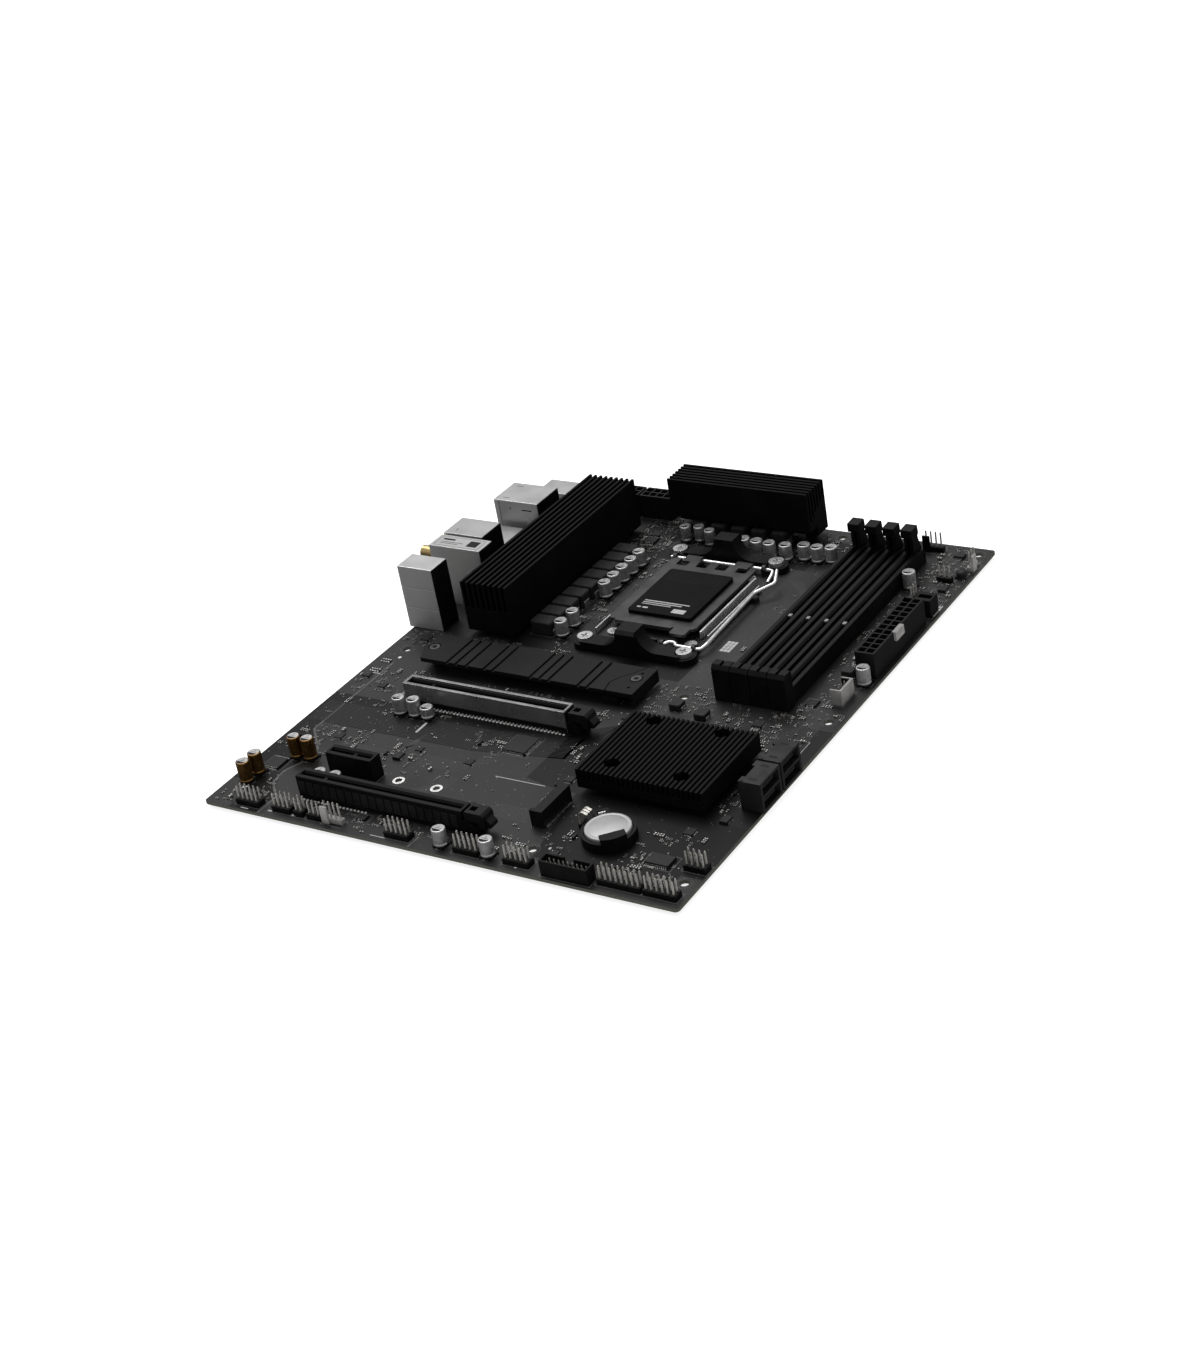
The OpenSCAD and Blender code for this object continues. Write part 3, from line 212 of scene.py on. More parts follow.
bright = surface("bright_steel", grey(0.60), grey(0.74), 0.24, metal=0.8, patch=5,
                 grain=0.15, stretch=(8, 1, 1), bump=0.002, spread=0.05)
coin_steel = surface("coin_steel", grey(0.33), grey(0.38), 0.5, metal=0.5, patch=6,
                     grain=0.15, stretch=(8, 1, 1), bump=0.002, spread=0.04)
sleeve = surface("slot_sleeve", grey(0.26), grey(0.33), 0.3, metal=0.75, patch=12,
                 grain=0.16, stretch=(14, 1, 1), bump=0.002)
dark_steel = surface("blackened_steel", grey(0.024), grey(0.036), 0.36, metal=0.5, spec=0.25,
                     patch=12, bump=0.003)
steel_grey = surface("screw_grey", grey(0.06), grey(0.09), 0.35, metal=0.6, spec=0.3,
                     patch=3, bump=0.003)
can_metal = surface("can_aluminium", grey(0.40), grey(0.52), 0.32, metal=0.75, patch=3,
                    grain=0.12, stretch=(1, 1, 10), bump=0.003)
can_top = surface("can_top_aluminium", grey(0.26), grey(0.40), 0.5, metal=1.0, patch=1.5,
                  grain=0.12, bump=0.003)
can_gold = surface("can_sleeve_gold", (0.15, 0.08, 0.022), (0.24, 0.135, 0.045), 0.24,
                   metal=0.9, spread=0.04, patch=3, grain=0.15, stretch=(1, 1, 9), bump=0.003)
lead = surface("solder_tin", grey(0.62, 0.01), grey(0.86, 0.01), 0.34, metal=1.0, patch=0.9,
               grain=0.12, bump=0.01)
lead_dull = surface("via_tin", grey(0.10, 0.02), grey(0.20, 0.02), 0.4, metal=0.8, patch=3,
                    grain=0.12)
gold = surface("gold_plate", (0.62, 0.45, 0.20), (0.80, 0.62, 0.32), 0.26, metal=1.0,
               patch=2, grain=0.1, bump=0.002)
pin_gold = surface("pin_plate", (0.50, 0.485, 0.45), (0.64, 0.625, 0.58), 0.3, metal=0.6,
                   patch=2, grain=0.1, bump=0.002)
resin = surface("chip_resin", grey(0.008), grey(0.013), 0.5, spec=0.2, patch=3, grain=0.1)
ferrite = surface("ferrite", grey(0.010), grey(0.017), 0.55, spec=0.2, patch=2.4,
                  grain=0.16, bump=0.014)
ceramic = surface("ceramic", (0.085, 0.078, 0.068), (0.17, 0.158, 0.14), 0.45, spec=0.4,
                  patch=1.5, grain=0.1)
resistor = surface("resistor_glaze", grey(0.012), grey(0.022), 0.35, spec=0.4, patch=0.8,
                   grain=0.1, bump=0.004)
paper = surface("label_stock", grey(0.38), grey(0.45), 0.6, spec=0.3, patch=5, bump=0.004)
pad_rubber = surface("thermal_pad", (0.16, 0.18, 0.21), (0.22, 0.24, 0.27), 0.8, spec=0.2,
                     patch=2, bump=0.03)
card_green = surface("card_mask", (0.008, 0.030, 0.014), (0.012, 0.045, 0.02), 0.4, patch=4,
                     grain=0.3)


# ---------- shape making ----------

def soften(piece, width, segments=2, weld=False):
    """Rounds a piece's sharp edges by width millimetres."""
    if weld:
        piece.modifiers.new("weld", "WELD").merge_threshold = 1e-6
        flat = piece.modifiers.new("flat", "DECIMATE")
        flat.decimate_type = "DISSOLVE"
        flat.angle_limit = math.radians(0.6)
    bevel = piece.modifiers.new("edges", "BEVEL")
    bevel.width = width * MM
    bevel.segments = segments
    bevel.limit_method = "ANGLE"
    bevel.angle_limit = math.radians(35)
    bevel.use_clamp_overlap = True
    normals = piece.modifiers.new("normals", "WEIGHTED_NORMAL")
    normals.keep_sharp = True


def dress(node, material, width):
    """Gives a CAD node its finish and rounds its edges."""
    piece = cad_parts[node]
    for slot in piece.material_slots:
        slot.material = material
    if width:
        soften(piece, width, weld=True)


def rectangle(x0, y0, x1, y1):
    return [(x0, y0), (x1, y0), (x1, y1), (x0, y1)]


def ring_about_x(x, y, z, r, n):
    """A circle across the x direction."""
    angles = [2 * math.pi * i / n for i in range(n)]
    return [(x, y + r * math.cos(a), z + r * math.sin(a)) for a in angles]


class Shape:
    """Faces gathered in board millimetres, each with a material number."""

    def __init__(self):
        self.verts, self.faces, self.mats = [], [], []

    def add(self, verts, faces, mat=0):
        base = len(self.verts)
        self.verts.extend(verts)
        self.faces.extend([base + i for i in face] for face in faces)
        self.mats.extend([mat] * len(faces))

    def loft(self, rings, mat=0):
        """Skins rings of equal length, each anticlockwise about the way they run, and caps the ends."""
        n = len(rings[0])
        faces = [list(range(n))[::-1], [(len(rings) - 1) * n + i for i in range(n)]]
        for k in range(len(rings) - 1):
            for i in range(n):
                j = (i + 1) % n
                faces.append([k * n + i, k * n + j, (k + 1) * n + j, (k + 1) * n + i])
        self.add([p for ring in rings for p in ring], faces, mat)

    def prism(self, outline, z0, z1, mat=0, draft=0.0):
        """An anticlockwise outline in x and y, pushed up from z0 to z1."""
        cx = sum(x for x, _ in outline) / len(outline)
        cy = sum(y for _, y in outline) / len(outline)
        top = [(x - math.copysign(draft, x - cx), y - math.copysign(draft, y - cy)) for x, y in outline]
        self.loft([[(x, y, z0) for x, y in outline], [(x, y, z1) for x, y in top]], mat)

    def box(self, lo, hi, mat=0, draft=0.0):
        self.prism(rectangle(lo[0], lo[1], hi[0], hi[1]), lo[2], hi[2], mat, draft)

    def skin(self, rings, mat=0):
        """An open skin over rings of equal length, which run clockwise about its way."""
        n = len(rings[0])
        for a, b in zip(rings, rings[1:]):
            self.add(a + b, [[i, (i + 1) % n, n + (i + 1) % n, n + i] for i in range(n)], mat)

    def lathe(self, centre, profile, mat=0, n=28):
        """A profile of (radius, height) turned upright; it starts and ends near radius 0."""
        x, y, z = centre
        self.loft([[(u, v, z + h) for u, v in disc(x, y, max(r, 1e-3), n)] for r, h in profile], mat)

    def tube(self, points, r, mat=0, n=14):
        """A round wire along points."""
        path, rings, side = [Vector(p) for p in points], [], None
        for i, p in enumerate(path):
            along = (path[min(i + 1, len(path) - 1)] - path[max(i - 1, 0)]).normalized()
            if side is None:
                side = along.cross(Vector((0, 0, 1)))
                if side.length < 0.1:
                    side = along.cross(Vector((1, 0, 0)))
            side = (side - along * side.dot(along)).normalized()
            up = along.cross(side)
            radius = r[i] if isinstance(r, list) else r
            rings.append([tuple(p + side * radius * math.cos(2 * math.pi * j / n)
                                + up * radius * math.sin(2 * math.pi * j / n)) for j in range(n)])
        self.loft(rings, mat)

    def ribbon(self, points, width, z, thick=0.03, mat=0):
        """A flat line on the board along points in x and y, with mitred corners."""
        left, right = [], []
        for i, p in enumerate(points):
            before = Vector(p) - Vector(points[max(i - 1, 0)])
            after = Vector(points[min(i + 1, len(points) - 1)]) - Vector(p)
            before = (before if before.length else after).normalized()
            after = (after if after.length else before).normalized()
            half = Vector((-before.y - after.y, before.x + after.x)).normalized()
            half *= width / 2 / max(half.dot(Vector((-before.y, before.x))), 0.4)
            left.append((p[0] + half.x, p[1] + half.y))
            right.append((p[0] - half.x, p[1] - half.y))
        for a, b, c, d in zip(right, right[1:], left[1:], left):
            self.prism([a, b, c, d], z, z + thick, mat)

    def make(self, name, materials, body="root", stands_for=(), bevel=0.0, segments=2):
        materials = materials if isinstance(materials, (list, tuple)) else [materials]
        mesh = bpy.data.meshes.new(name)
        mesh.from_pydata([at(*v) for v in self.verts], [], self.faces)
        for material in materials:
            mesh.materials.append(material)
        mesh.polygons.foreach_set("material_index", self.mats)
        mesh.shade_smooth()
        piece = link(name, mesh)
        if bevel:
            soften(piece, bevel, segments)
        else:
            mesh.set_sharp_from_angle(angle=math.radians(38))
        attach(piece, body)
        if stands_for:
            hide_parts(*stands_for)
        return piece


def rounded(points, radius, steps=6):
    """The points with each inner corner turned into a short curve."""
    out = [Vector(points[0])]
    for a, b, c in zip(points, points[1:], points[2:]):
        a, b, c = Vector(a), Vector(b), Vector(c)
        reach_a = min(radius, (a - b).length * 0.48)
        reach_c = min(radius, (c - b).length * 0.48)
        start, end = b + (a - b).normalized() * reach_a, b + (c - b).normalized() * reach_c
        for i in range(steps + 1):
            t = i / steps
            out.append(start * (1 - t) ** 2 + b * 2 * t * (1 - t) + end * t * t)
    return out + [Vector(points[-1])]


def disc(x, y, r, n=16):
    angles = [2 * math.pi * i / n for i in range(n)]
    return [(x + r * math.cos(a), y + r * math.sin(a)) for a in angles]


def ring_faces(shape, x, y, r_in, r_out, z, thick, mat=0, n=28):
    """A flat washer shape."""
    inner, outer = disc(x, y, r_in, n), disc(x, y, r_out, n)
    verts = [(p[0], p[1], h) for h in (z, z + thick) for ring in (inner, outer) for p in ring]
    faces = []
    for i in range(n):
        j = (i + 1) % n
        a, b, c, d = i, n + i, 2 * n + i, 3 * n + i
        a2, b2, c2, d2 = j, n + j, 2 * n + j, 3 * n + j
        faces += [[c, d, d2, c2], [b, b2, d2, d], [a2, a, c, c2], [a, a2, b2, b]]
    shape.add(verts, faces, mat)


# ---------- CAD nodes that keep their shape ----------

for material, width, names in [
    (mask, 0.12, "pcb"), (card_green, 0.06, "wireless_module"), (plate_grey, 0.16, "load_plate"),
    (dark_steel, 0.3, "backplate"), (dark_steel, 0.14, "socket_frame heatsink_screws"),
    (bright, 0.16, "socket_screws"), (bright, 0.08, "battery_contact"), (bright, 0, "hinge_wire"),
    (gold, 0.08, "antenna_connectors"), (sleeve, 0.08, "graphics_slot_armour"),
    (tin, 0.3, "audio_jacks"), (tin, 0.25, "wireless_shield"),
    (tin_flat, 0.2, "network_stack usb_ports"), (tin_flat, 0.25, "display_stack"),
    (anodised, 0.18, "vrm_heatsink_left"), (anodised_x, 0.18, "vrm_heatsink_top"),
    (anodised, 0.16, "chipset_heatsink"), (plate_black, 0.16, "drive_heatsink drive_heatsink_end"),
    (resin, 0.08, "power_stages"), (resin, 0.1, "chipset"), (pad_rubber, 0.2, "thermal_pads"),
    (plastic_cap, 0.22, "socket_cap"), (plastic_sheen, 0.14, "sata_ports_near sata_ports_far"),
    (plastic, 0.1, "header_bases"), (plastic, 0.18, "battery_holder"),
    (plastic, 0.3, "cooler_bracket_near cooler_bracket_far"),
    (plastic, 0.12, "usb_header graphics_slot lower_slot short_card_slot"),
    (plastic, 0.12, "memory_slot_1 memory_slot_2 memory_slot_3 memory_slot_4"),
    (plastic, 0.2, "memory_latch_1 memory_latch_2 memory_latch_3 memory_latch_4"),
    (plastic_grey, 0.12, "drive_sockets"), (plastic_grey, 0.15, "socket_housing bios_button"),
    (plastic_grey, 0.14, "main_power_connector cpu_power_connectors"),
    (plastic_grey, 0.16, "graphics_latch lower_latch"),
]:
    for node in names.split():
        dress(node, material, width)

# ---------- processor socket ----------

SOCKET_X, SOCKET_Y = 122.3, 214.5
LEVER_X, LEVER_Y, LEVER_Z = SOCKET_X + 31.6, SOCKET_Y - 38.5, 2.9
HINGE_Y = SOCKET_Y + 37.5

lever = Shape()
lever_path = [
    (SOCKET_X + 10, LEVER_Y, LEVER_Z), (SOCKET_X + 12.7, LEVER_Y, LEVER_Z),
    (SOCKET_X + 13.6, LEVER_Y + 2, LEVER_Z + 0.3), (SOCKET_X + 17.4, LEVER_Y + 2, LEVER_Z + 0.3),
    (SOCKET_X + 18.3, LEVER_Y, LEVER_Z), (LEVER_X, LEVER_Y, LEVER_Z),
    (LEVER_X + 1.4, LEVER_Y + 3.5, LEVER_Z + 0.9), (LEVER_X + 0.2, SOCKET_Y + 13.5, 4.8),
    (LEVER_X + 6.6, SOCKET_Y + 23, 6), (LEVER_X + 3.4, SOCKET_Y + 31.5, 8.2)]
smooth_path = rounded(lever_path, 1.6)
lever.tube(smooth_path, [0.8] + [1.0] * (len(smooth_path) - 2) + [0.75], n=18)
lever.make("load_lever_wire", bright, "load_lever", ["load_lever"])

rails = Shape()
for x0, x1, y0, y1, z0, z1 in [
    (24.85, 26.15, -27.05, 27.05, 1.25, 5.25), (28.75, 29.85, -27.05, 23.05, 1.25, 3.65),
    (-27.35, -26.25, -36.05, -21.95, 1.25, 4.25),
]:
    rails.box((SOCKET_X + x0, SOCKET_Y + y0, z0), (SOCKET_X + x1, SOCKET_Y + y1, z1))
rails.make("socket_rails", bright, bevel=0.3, segments=3)

# Small dots on the cap's far third, plain pale bars where a maker would print.
cap_lo, cap_hi = islands("socket_cap")[0]
dots = Shape()
for i in range(26):
    for j in range(9):
        x = cap_lo[0] + 2.4 + i * 1.21
        y = cap_hi[1] - 2.2 - j * 1.1
        dots.lathe((x, y, cap_hi[2] - 0.01), [(0, 0), (0.3, 0), (0.24, 0.07), (0, 0.1)], n=8)
dots.make("cap_grip_dots", plastic_grey, "socket_cap")
bars = Shape()
for x0, x1, y0, y1 in [(4, 28.5, 10.2, 11), (4, 25, 8.6, 9.3), (4, 20, 7.1, 7.7), (22.5, 29.5, 2.6, 6.2),
                       (3.4, 5.4, 3.4, 4.6), (6.4, 9.2, 3.4, 4.6)]:
    bars.box((cap_lo[0] + x0, cap_lo[1] + y0, cap_hi[2] - 0.005),
             (cap_lo[0] + x1, cap_lo[1] + y1, cap_hi[2] + 0.02))
bars.make("cap_plain_bars", ink, "socket_cap")

contacts = Shape()
for i in range(36):
    for j in range(37):
        if 11 <= i <= 24 and 13 <= j <= 23:
            continue
        x, y = SOCKET_X - 17.5 + i, SOCKET_Y - 18 + j
        foot = rectangle(x - 0.2, y - 0.15, x + 0.2, y + 0.15)
        tip = rectangle(x + 0.15, y - 0.1, x + 0.4, y + 0.1)
        contacts.prism(foot, 1.15, 1.6)
        contacts.loft([[(u, v, 1.6) for u, v in foot], [(u, v, 2.1) for u, v in tip]])
contacts.make("socket_contact_springs", gold, stands_for=["socket_contacts"])

# Small parts in the middle of the open socket.
inner = Shape()
for i in range(4):
    for j in range(3):
        x, y = SOCKET_X - 4.6 + i * 2.6, SOCKET_Y - 3.6 + j * 3
        inner.box((x, y, 1.2), (x + 1.6, y + 0.8, 1.8))
        for end in (x - 0.05, x + 1.3):
            inner.box((end, y - 0.03, 1.2), (end + 0.35, y + 0.83, 1.84), 1)
inner.make("socket_middle_parts", [ceramic, lead])

# ---------- capacitors ----------

def can_shape(shape, cx, cy, d, h):
    """A can on its base; materials are base, can, top and print."""
    s, k = d * 0.52, d * 0.17
    shape.prism([(cx - s + k, cy - s), (cx + s - k, cy - s), (cx + s, cy - s + k), (cx + s, cy + s - 0.2),
                 (cx + s - 0.2, cy + s), (cx - s + 0.2, cy + s), (cx - s, cy + s - 0.2),
                 (cx - s, cy - s + k)], 0, 0.95)
    r = d / 2
    shape.lathe((cx, cy, 0), [
        (0, 0.9), (r * 0.97, 0.9), (r, 1.1), (r, 1.6), (r * 0.93, 1.85), (r * 0.9, 2.05), (r * 0.93, 2.25),
        (r, 2.5), (r, h - 0.7), (r * 0.985, h - 0.35), (r * 0.94, h - 0.1), (r * 0.88, h - 0.02),
        (0, h - 0.03)], 1, n=36)
    shape.lathe((cx, cy, 0), [(0, h - 0.05), (r * 0.84, h - 0.05), (r * 0.83, h), (0, h + 0.015)], 2, n=36)
    # Printed half-moon that marks one pole, and the scored vent.
    arc = [(cx + r * 0.8 * math.cos(a), cy + r * 0.8 * math.sin(a))
           for a in [math.radians(200 + 10 * i) for i in range(15)]]
    shape.prism(arc, h, h + 0.03, 3)
    for x0, y0, x1, y1 in [(-0.55, -0.03, 0.55, 0.03), (-0.03, -0.1, 0.03, 0.6)]:
        shape.box((cx + r * x0, cy + r * y0, h - 0.01), (cx + r * x1, cy + r * y1, h + 0.035), 3)
    for side in (-1, 1):
        shape.box((cx - 0.35, cy + side * s - 0.5, 0), (cx + 0.35, cy + side * s + 0.5, 0.3), 2)


for node, name, can, top in [("can_capacitors", "can_capacitor_set", can_metal, can_top),
                             ("audio_capacitors", "audio_capacitor_set", can_gold, tin_flat)]:
    cans = Shape()
    for lo, hi in islands(node):
        can_shape(cans, (lo[0] + hi[0]) / 2, (lo[1] + hi[1]) / 2, (hi[0] - lo[0]) / 1.04, hi[2])
    cans.make(name, [plastic, can, top, plastic_grey], stands_for=[node])

# ---------- chokes and chips ----------

chokes = Shape()
for (x0, y0, base), (x1, y1, top) in islands("chokes"):
    length, h = y1 - y0, top - base
    cx, cy = (x0 + x1) / 2, (y0 + y1) / 2
    k = 0.9
    plan = [(x0 + k, y0 + 0.1), (x1 - k, y0 + 0.1), (x1 - 0.15, y0 + k),
            (x1 - 0.15, y1 - k), (x1 - k, y1 - 0.1), (x0 + k, y1 - 0.1),
            (x0 + 0.15, y1 - k), (x0 + 0.15, y0 + k)]
    chokes.prism(plan, 0.25, h - 0.35)
    chokes.prism([(cx + (x - cx) * 0.95, cy + (y - cy) * 0.95) for x, y in plan], h - 0.4, h)
    for x in (x0, x1 - 0.5):
        chokes.box((x, cy - length * 0.27, 0), (x + 0.5, cy + length * 0.27, h * 0.42), 1)
chokes.make("choke_set", [ferrite, lead], stands_for=["chokes"], bevel=0.22)

chip_set = Shape()


def leads(shape, x0, y0, x1, y1, pitch, sides, foot=0.9, width=0.3, z=0.75, mat=1):
    """Gull-wing leads along the sides of a chip body; sides is any of w, e, s, n."""
    for side in sides:
        along_y = side in "we"
        length = (y1 - y0) if along_y else (x1 - x0)
        count = max(2, int((length - 0.6) / pitch))
        start = ((y0 + y1) if along_y else (x0 + x1)) / 2 - (count - 1) * pitch / 2
        edge = {"w": x0, "e": x1, "s": y0, "n": y1}[side]
        out = -1 if side in "ws" else 1
        for i in range(count):
            c = start + i * pitch
            a, b = edge - out * 0.1, edge + out * foot * 0.45
            end = edge + out * foot
            for u0, u1, z0, z1 in ((a, b, z - 0.07, z + 0.07), (b - out * 0.12, b, 0.02, z + 0.07),
                                   (b - out * 0.12, end, 0.0, 0.13)):
                u0, u1 = min(u0, u1), max(u0, u1)
                if along_y:
                    shape.box((u0, c - width / 2, z0), (u1, c + width / 2, z1), mat)
                else:
                    shape.box((c - width / 2, u0, z0), (c + width / 2, u1, z1), mat)


for lo, hi in islands("chips"):
    width, length, h = (hi[a] - lo[a] for a in range(3))
    chip_set.box((lo[0], lo[1], 0.08), (hi[0], hi[1], h * 0.5))
    chip_set.box((lo[0], lo[1], h * 0.5), (hi[0], hi[1], h), draft=0.12)
    ring_faces(chip_set, lo[0] + 1.1, hi[1] - 1.1, 0.22, 0.34, h - 0.01, 0.03, 0, n=12)
    if min(width, length) > 8:
        pitch, sides, lead_width = 0.5, "wesn", 0.22
    else:
        pitch, sides, lead_width = 0.9, "sn" if width >= length else "we", 0.36
    leads(chip_set, lo[0], lo[1], hi[0], hi[1], pitch, sides, width=lead_width)
chip_set.make("chip_set", [resin, lead], stands_for=["chips"])

# ---------- pins ----------

pins = Shape()
for (x0, y0, base), (x1, y1, top) in islands("header_pins"):
    k = (x1 - x0) * 0.24
    square = rectangle(x0, y0, x1, y1)
    tip = rectangle(x0 + k, y0 + k, x1 - k, y1 - k)
    pins.loft([[(x, y, base) for x, y in square], [(x, y, top - 0.5) for x, y in square],
               [(x, y, top) for x, y in tip]])
pins.make("header_pin_set", pin_gold, stands_for=["header_pins"])

joints = Shape()
for (x0, y0, base), (x1, y1, top) in islands("solder_joints"):
    nx = max(1, round((x1 - x0) / 2.1))
    ny = max(1, round((y1 - y0) / 2.1))
    for i in range(nx):
        for j in range(ny):
            x = x0 + (i + 0.5) * (x1 - x0) / nx
            y = y0 + (j + 0.5) * (y1 - y0) / ny
            joints.lathe((x, y, 0), [(0, base), (0.28, base + 0.05), (0.4, base + 0.9),
                                     (0.85, top - 0.06), (0.9, top + 0.02), (0, top + 0.03)], n=8)
joints.make("solder_joint_set", lead, stands_for=["solder_joints"])

# ---------- battery ----------

coin = Shape()
coin.lathe((192, 34, 2.7), [
    (0, 0), (8.2, 0), (8.5, 0.15), (8.7, 0.45), (9.0, 0.62), (9.85, 0.7), (10, 0.9), (10, 2.7),
    (9.93, 2.95), (9.7, 3.12), (9.4, 3.19), (8.7, 3.19), (8.55, 3.12), (8.3, 3.12), (8.15, 3.19),
    (0, 3.19)], n=72)
coin.make("coin_cell_case", coin_steel, "coin_cell", ["coin_cell"])

# Sprung side contact, which stays clear of the cell when it tilts.
prongs = Shape()
for y in (36, 37.7, 39.4):
    prongs.box((176.4, y, 0), (176.8, y + 1.3, 6.8))
    prongs.loft([[(x, y, z), (x, y + 1.3, z), (x, y + 1.3, z + 0.35), (x, y, z + 0.35)] for x, z in
                 ((176.4, 6.6), (177.2, 7.7), (178.2, 8), (180.6, 7.15))])
prongs.box((175.8, 35.6, 0), (179.4, 41.1, 2.2), 1)
prongs.make("coin_cell_prongs", [pin_gold, plastic])

# ---------- lines and markings on the board ----------

CASE_HOLES = [(x, y) for x in (10.16, 165.1, 237.49) for y in (16.51, 140.97)] + [
    (10.16, 275.59), (165.1, 298.45), (237.49, 298.45)]
DRIVE_POSTS = [(77.5, 42), (98, 42)]
COPPER_TOP = 0.012

# Wide copper areas and painted shade: 0 a dark band, 1 a light field, 2 painted shade, a darker mask where
# tall parts shadow the board.
planes = Shape()
for mat, corners in [
    (0, [(0.2, 72.5), (44.6, 72.3), (95.8, 72.8), (140.4, 79.7), (140.4, 97), (0.2, 97)]),
    (0, [(168, 12), (233.4, 12), (233.4, 20.6), (243.4, 20.6), (243.4, 58), (160, 58)]),
    (0, [(0.2, 20.6), (14.2, 20.6), (14.2, 0.2), (30.2, 0.2), (30.2, 13.6), (25.4, 17.6), (20.9, 23.2),
         (19.8, 32), (23.4, 40.2), (23.7, 51.6), (10.6, 65.6), (10.6, 72.4), (0.2, 72.4)]),
    (1, rectangle(84.5, 178, 94, 250)),
    (1, [(156, 150), (178, 150), (178, 262), (158, 262)]),
    (2, [(132, 62), (150, 58.1), (243.4, 58.1), (243.4, 134), (228, 134), (228, 112), (150, 112),
         (132, 100)]),
    (2, [(84.6, 152), (155.8, 152), (155.8, 172), (84.6, 176)]),
    (2, rectangle(56, 160, 84.4, 256)),
    (2, [(60, 256.1), (155.8, 256.1), (155.8, 262.3), (178, 262.3), (178, 293), (60, 293)]),
]:
    planes.prism(corners, 0, COPPER_TOP, mat)
planes.make("copper_planes_and_painted_shade", [mask_dark, mask_plane, painted_shade_mask])

traces = Shape()


def bundle(points, count, pitch, shift, mat=0):
    """Lines side by side; shift is the direction from each to the next."""
    for i in range(count):
        dx, dy = shift[0] * pitch * i, shift[1] * pitch * i
        traces.ribbon([(x + dx, y + dy) for x, y in points], 0.34, COPPER_TOP, 0.02, mat)


bundle([(2, 73.4), (44, 73.4), (95, 73.9), (139, 80.6)], 17, 1.0, (0, 1), 2)
# Bare gaps that set the audio corner and one header apart.
for gap in [
    [(30.8, 0.3), (30.8, 14)],
    [(112.5, 0.4), (112.9, 11.3)],
    [(30.8, 14), (26, 18), (21.5, 23.5), (20.4, 32), (24, 40), (24.3, 52), (11.2, 66), (11.2, 128)],
]:
    traces.ribbon(gap, 1.0, COPPER_TOP, 0.02, 1)
for points, count, pitch, shift in [
    ([(86, 30), (86, 36), (94, 44), (94, 52)], 11, 0.9, (1, 0)),
    ([(146, 100), (150, 112), (164, 126), (176, 128)], 16, 0.8, (0.3, 1)),
    ([(110, 108), (110, 116), (118, 122)], 12, 0.9, (1, -0.1)),
    ([(60, 110), (96, 110), (102, 116), (104, 122)], 9, 0.9, (0, 1)),
    ([(219, 108), (228, 117), (228, 148)], 10, 0.9, (1, 0)),
    ([(220, 170), (226, 176), (226, 232)], 6, 0.8, (1, 0)),
    ([(220, 292), (228, 284), (228, 262), (236, 254)], 9, 0.8, (1, 0.35)),
    ([(60, 262), (72, 262), (84, 274), (84, 284)], 12, 0.8, (1, 0.2)),
    ([(128, 24.9), (136, 32), (152, 32)], 12, 0.8, (-0.3, 1)),
    ([(4, 145), (4, 156), (12, 160), (24, 160)], 7, 0.9, (0.8, -0.8)),
    ([(78, 186), (90, 198), (96, 198)], 12, 0.8, (0, 1)),
    ([(159, 152), (159, 168), (172, 181), (172, 240), (160, 252)], 9, 0.9, (0.9, 0)),
    ([(163, 262), (176, 262)], 16, 0.9, (0, 1)),
    ([(66, 56), (98, 56), (110, 68)], 9, 0.9, (0.2, 1)),
    ([(30, 54), (56, 54), (64, 62), (64, 71)], 9, 0.9, (0.4, 1)),
    ([(14, 100), (22, 108), (40, 108)], 10, 0.9, (0, 1)),
]:
    bundle(points, count, pitch, shift)
traces.make("trace_lines", [mask_line, mask_gap, mask_dark_line])

marks = Shape()


def outlined(x0, y0, x1, y1, w=0.16, mat=0):
    marks.ribbon([(x0, y0), (x1, y0), (x1, y1), (x0, y1), (x0, y0 - w / 2)], w, COPPER_TOP, 0.02, mat)


for node, grow in [("header_bases", 0.7), ("fan_headers", 0.6), ("chips", 1.5),
                   ("cpu_power_connectors", 0.4), ("chokes", 0.35), ("short_card_slot", 0.6),
                   ("usb_header", 0.6)]:
    for lo, hi in islands(node):
        outlined(max(lo[0] - grow, 0.2), max(lo[1] - grow, 0.2), min(hi[0] + grow, BOARD_W - 0.2),
                 min(hi[1] + grow, BOARD_L - 0.2), mat=1)
for lo, hi in islands("can_capacitors") + islands("audio_capacitors"):
    ring_faces(marks, (lo[0] + hi[0]) / 2, (lo[1] + hi[1]) / 2, (hi[0] - lo[0]) * 0.56,
               (hi[0] - lo[0]) * 0.585, COPPER_TOP, 0.02, 1, 24)
outlined(230, 106, 237.3, 124, 0.25)
INK_TOP = 0.035
for x0, x1, y0, y1 in [
    (60.3, 61.5, 78, 86.4), (91, 99, 2.5, 2.9), (20.3, 24.6, 1.2, 1.7), (171.4, 172.4, 18.6, 20.2),
    (165, 166.2, 2.6, 3.4), (34.4, 36.6, 3, 3.8), (47.4, 49.6, 3.5, 4.3), (240.6, 242.4, 238, 248),
    (7, 11, 117, 117.5), (118, 144, 58.4, 58.8), (100, 106, 151, 151.4), (74, 80, 155, 155.4),
]:
    marks.box((x0, y0, COPPER_TOP), (x1, y1, INK_TOP))
for i in range(3):
    for j in range(4):
        x, y = 160.1 + i * 1.85, 182.1 + j * 2.4
        marks.box((x, y, COPPER_TOP), (x + 1.6, y + 2.2, INK_TOP))
for x, y in [(20, 96), (34, 60), (120, 12), (150, 12), (208, 14), (226, 232), (216, 132), (64, 100),
             (88, 60)]:
    marks.prism([(x, y), (x + 1.1, y), (x + 0.55, y + 1)], COPPER_TOP, INK_TOP, 1)
marks.make("board_markings", [ink, ink_dim])

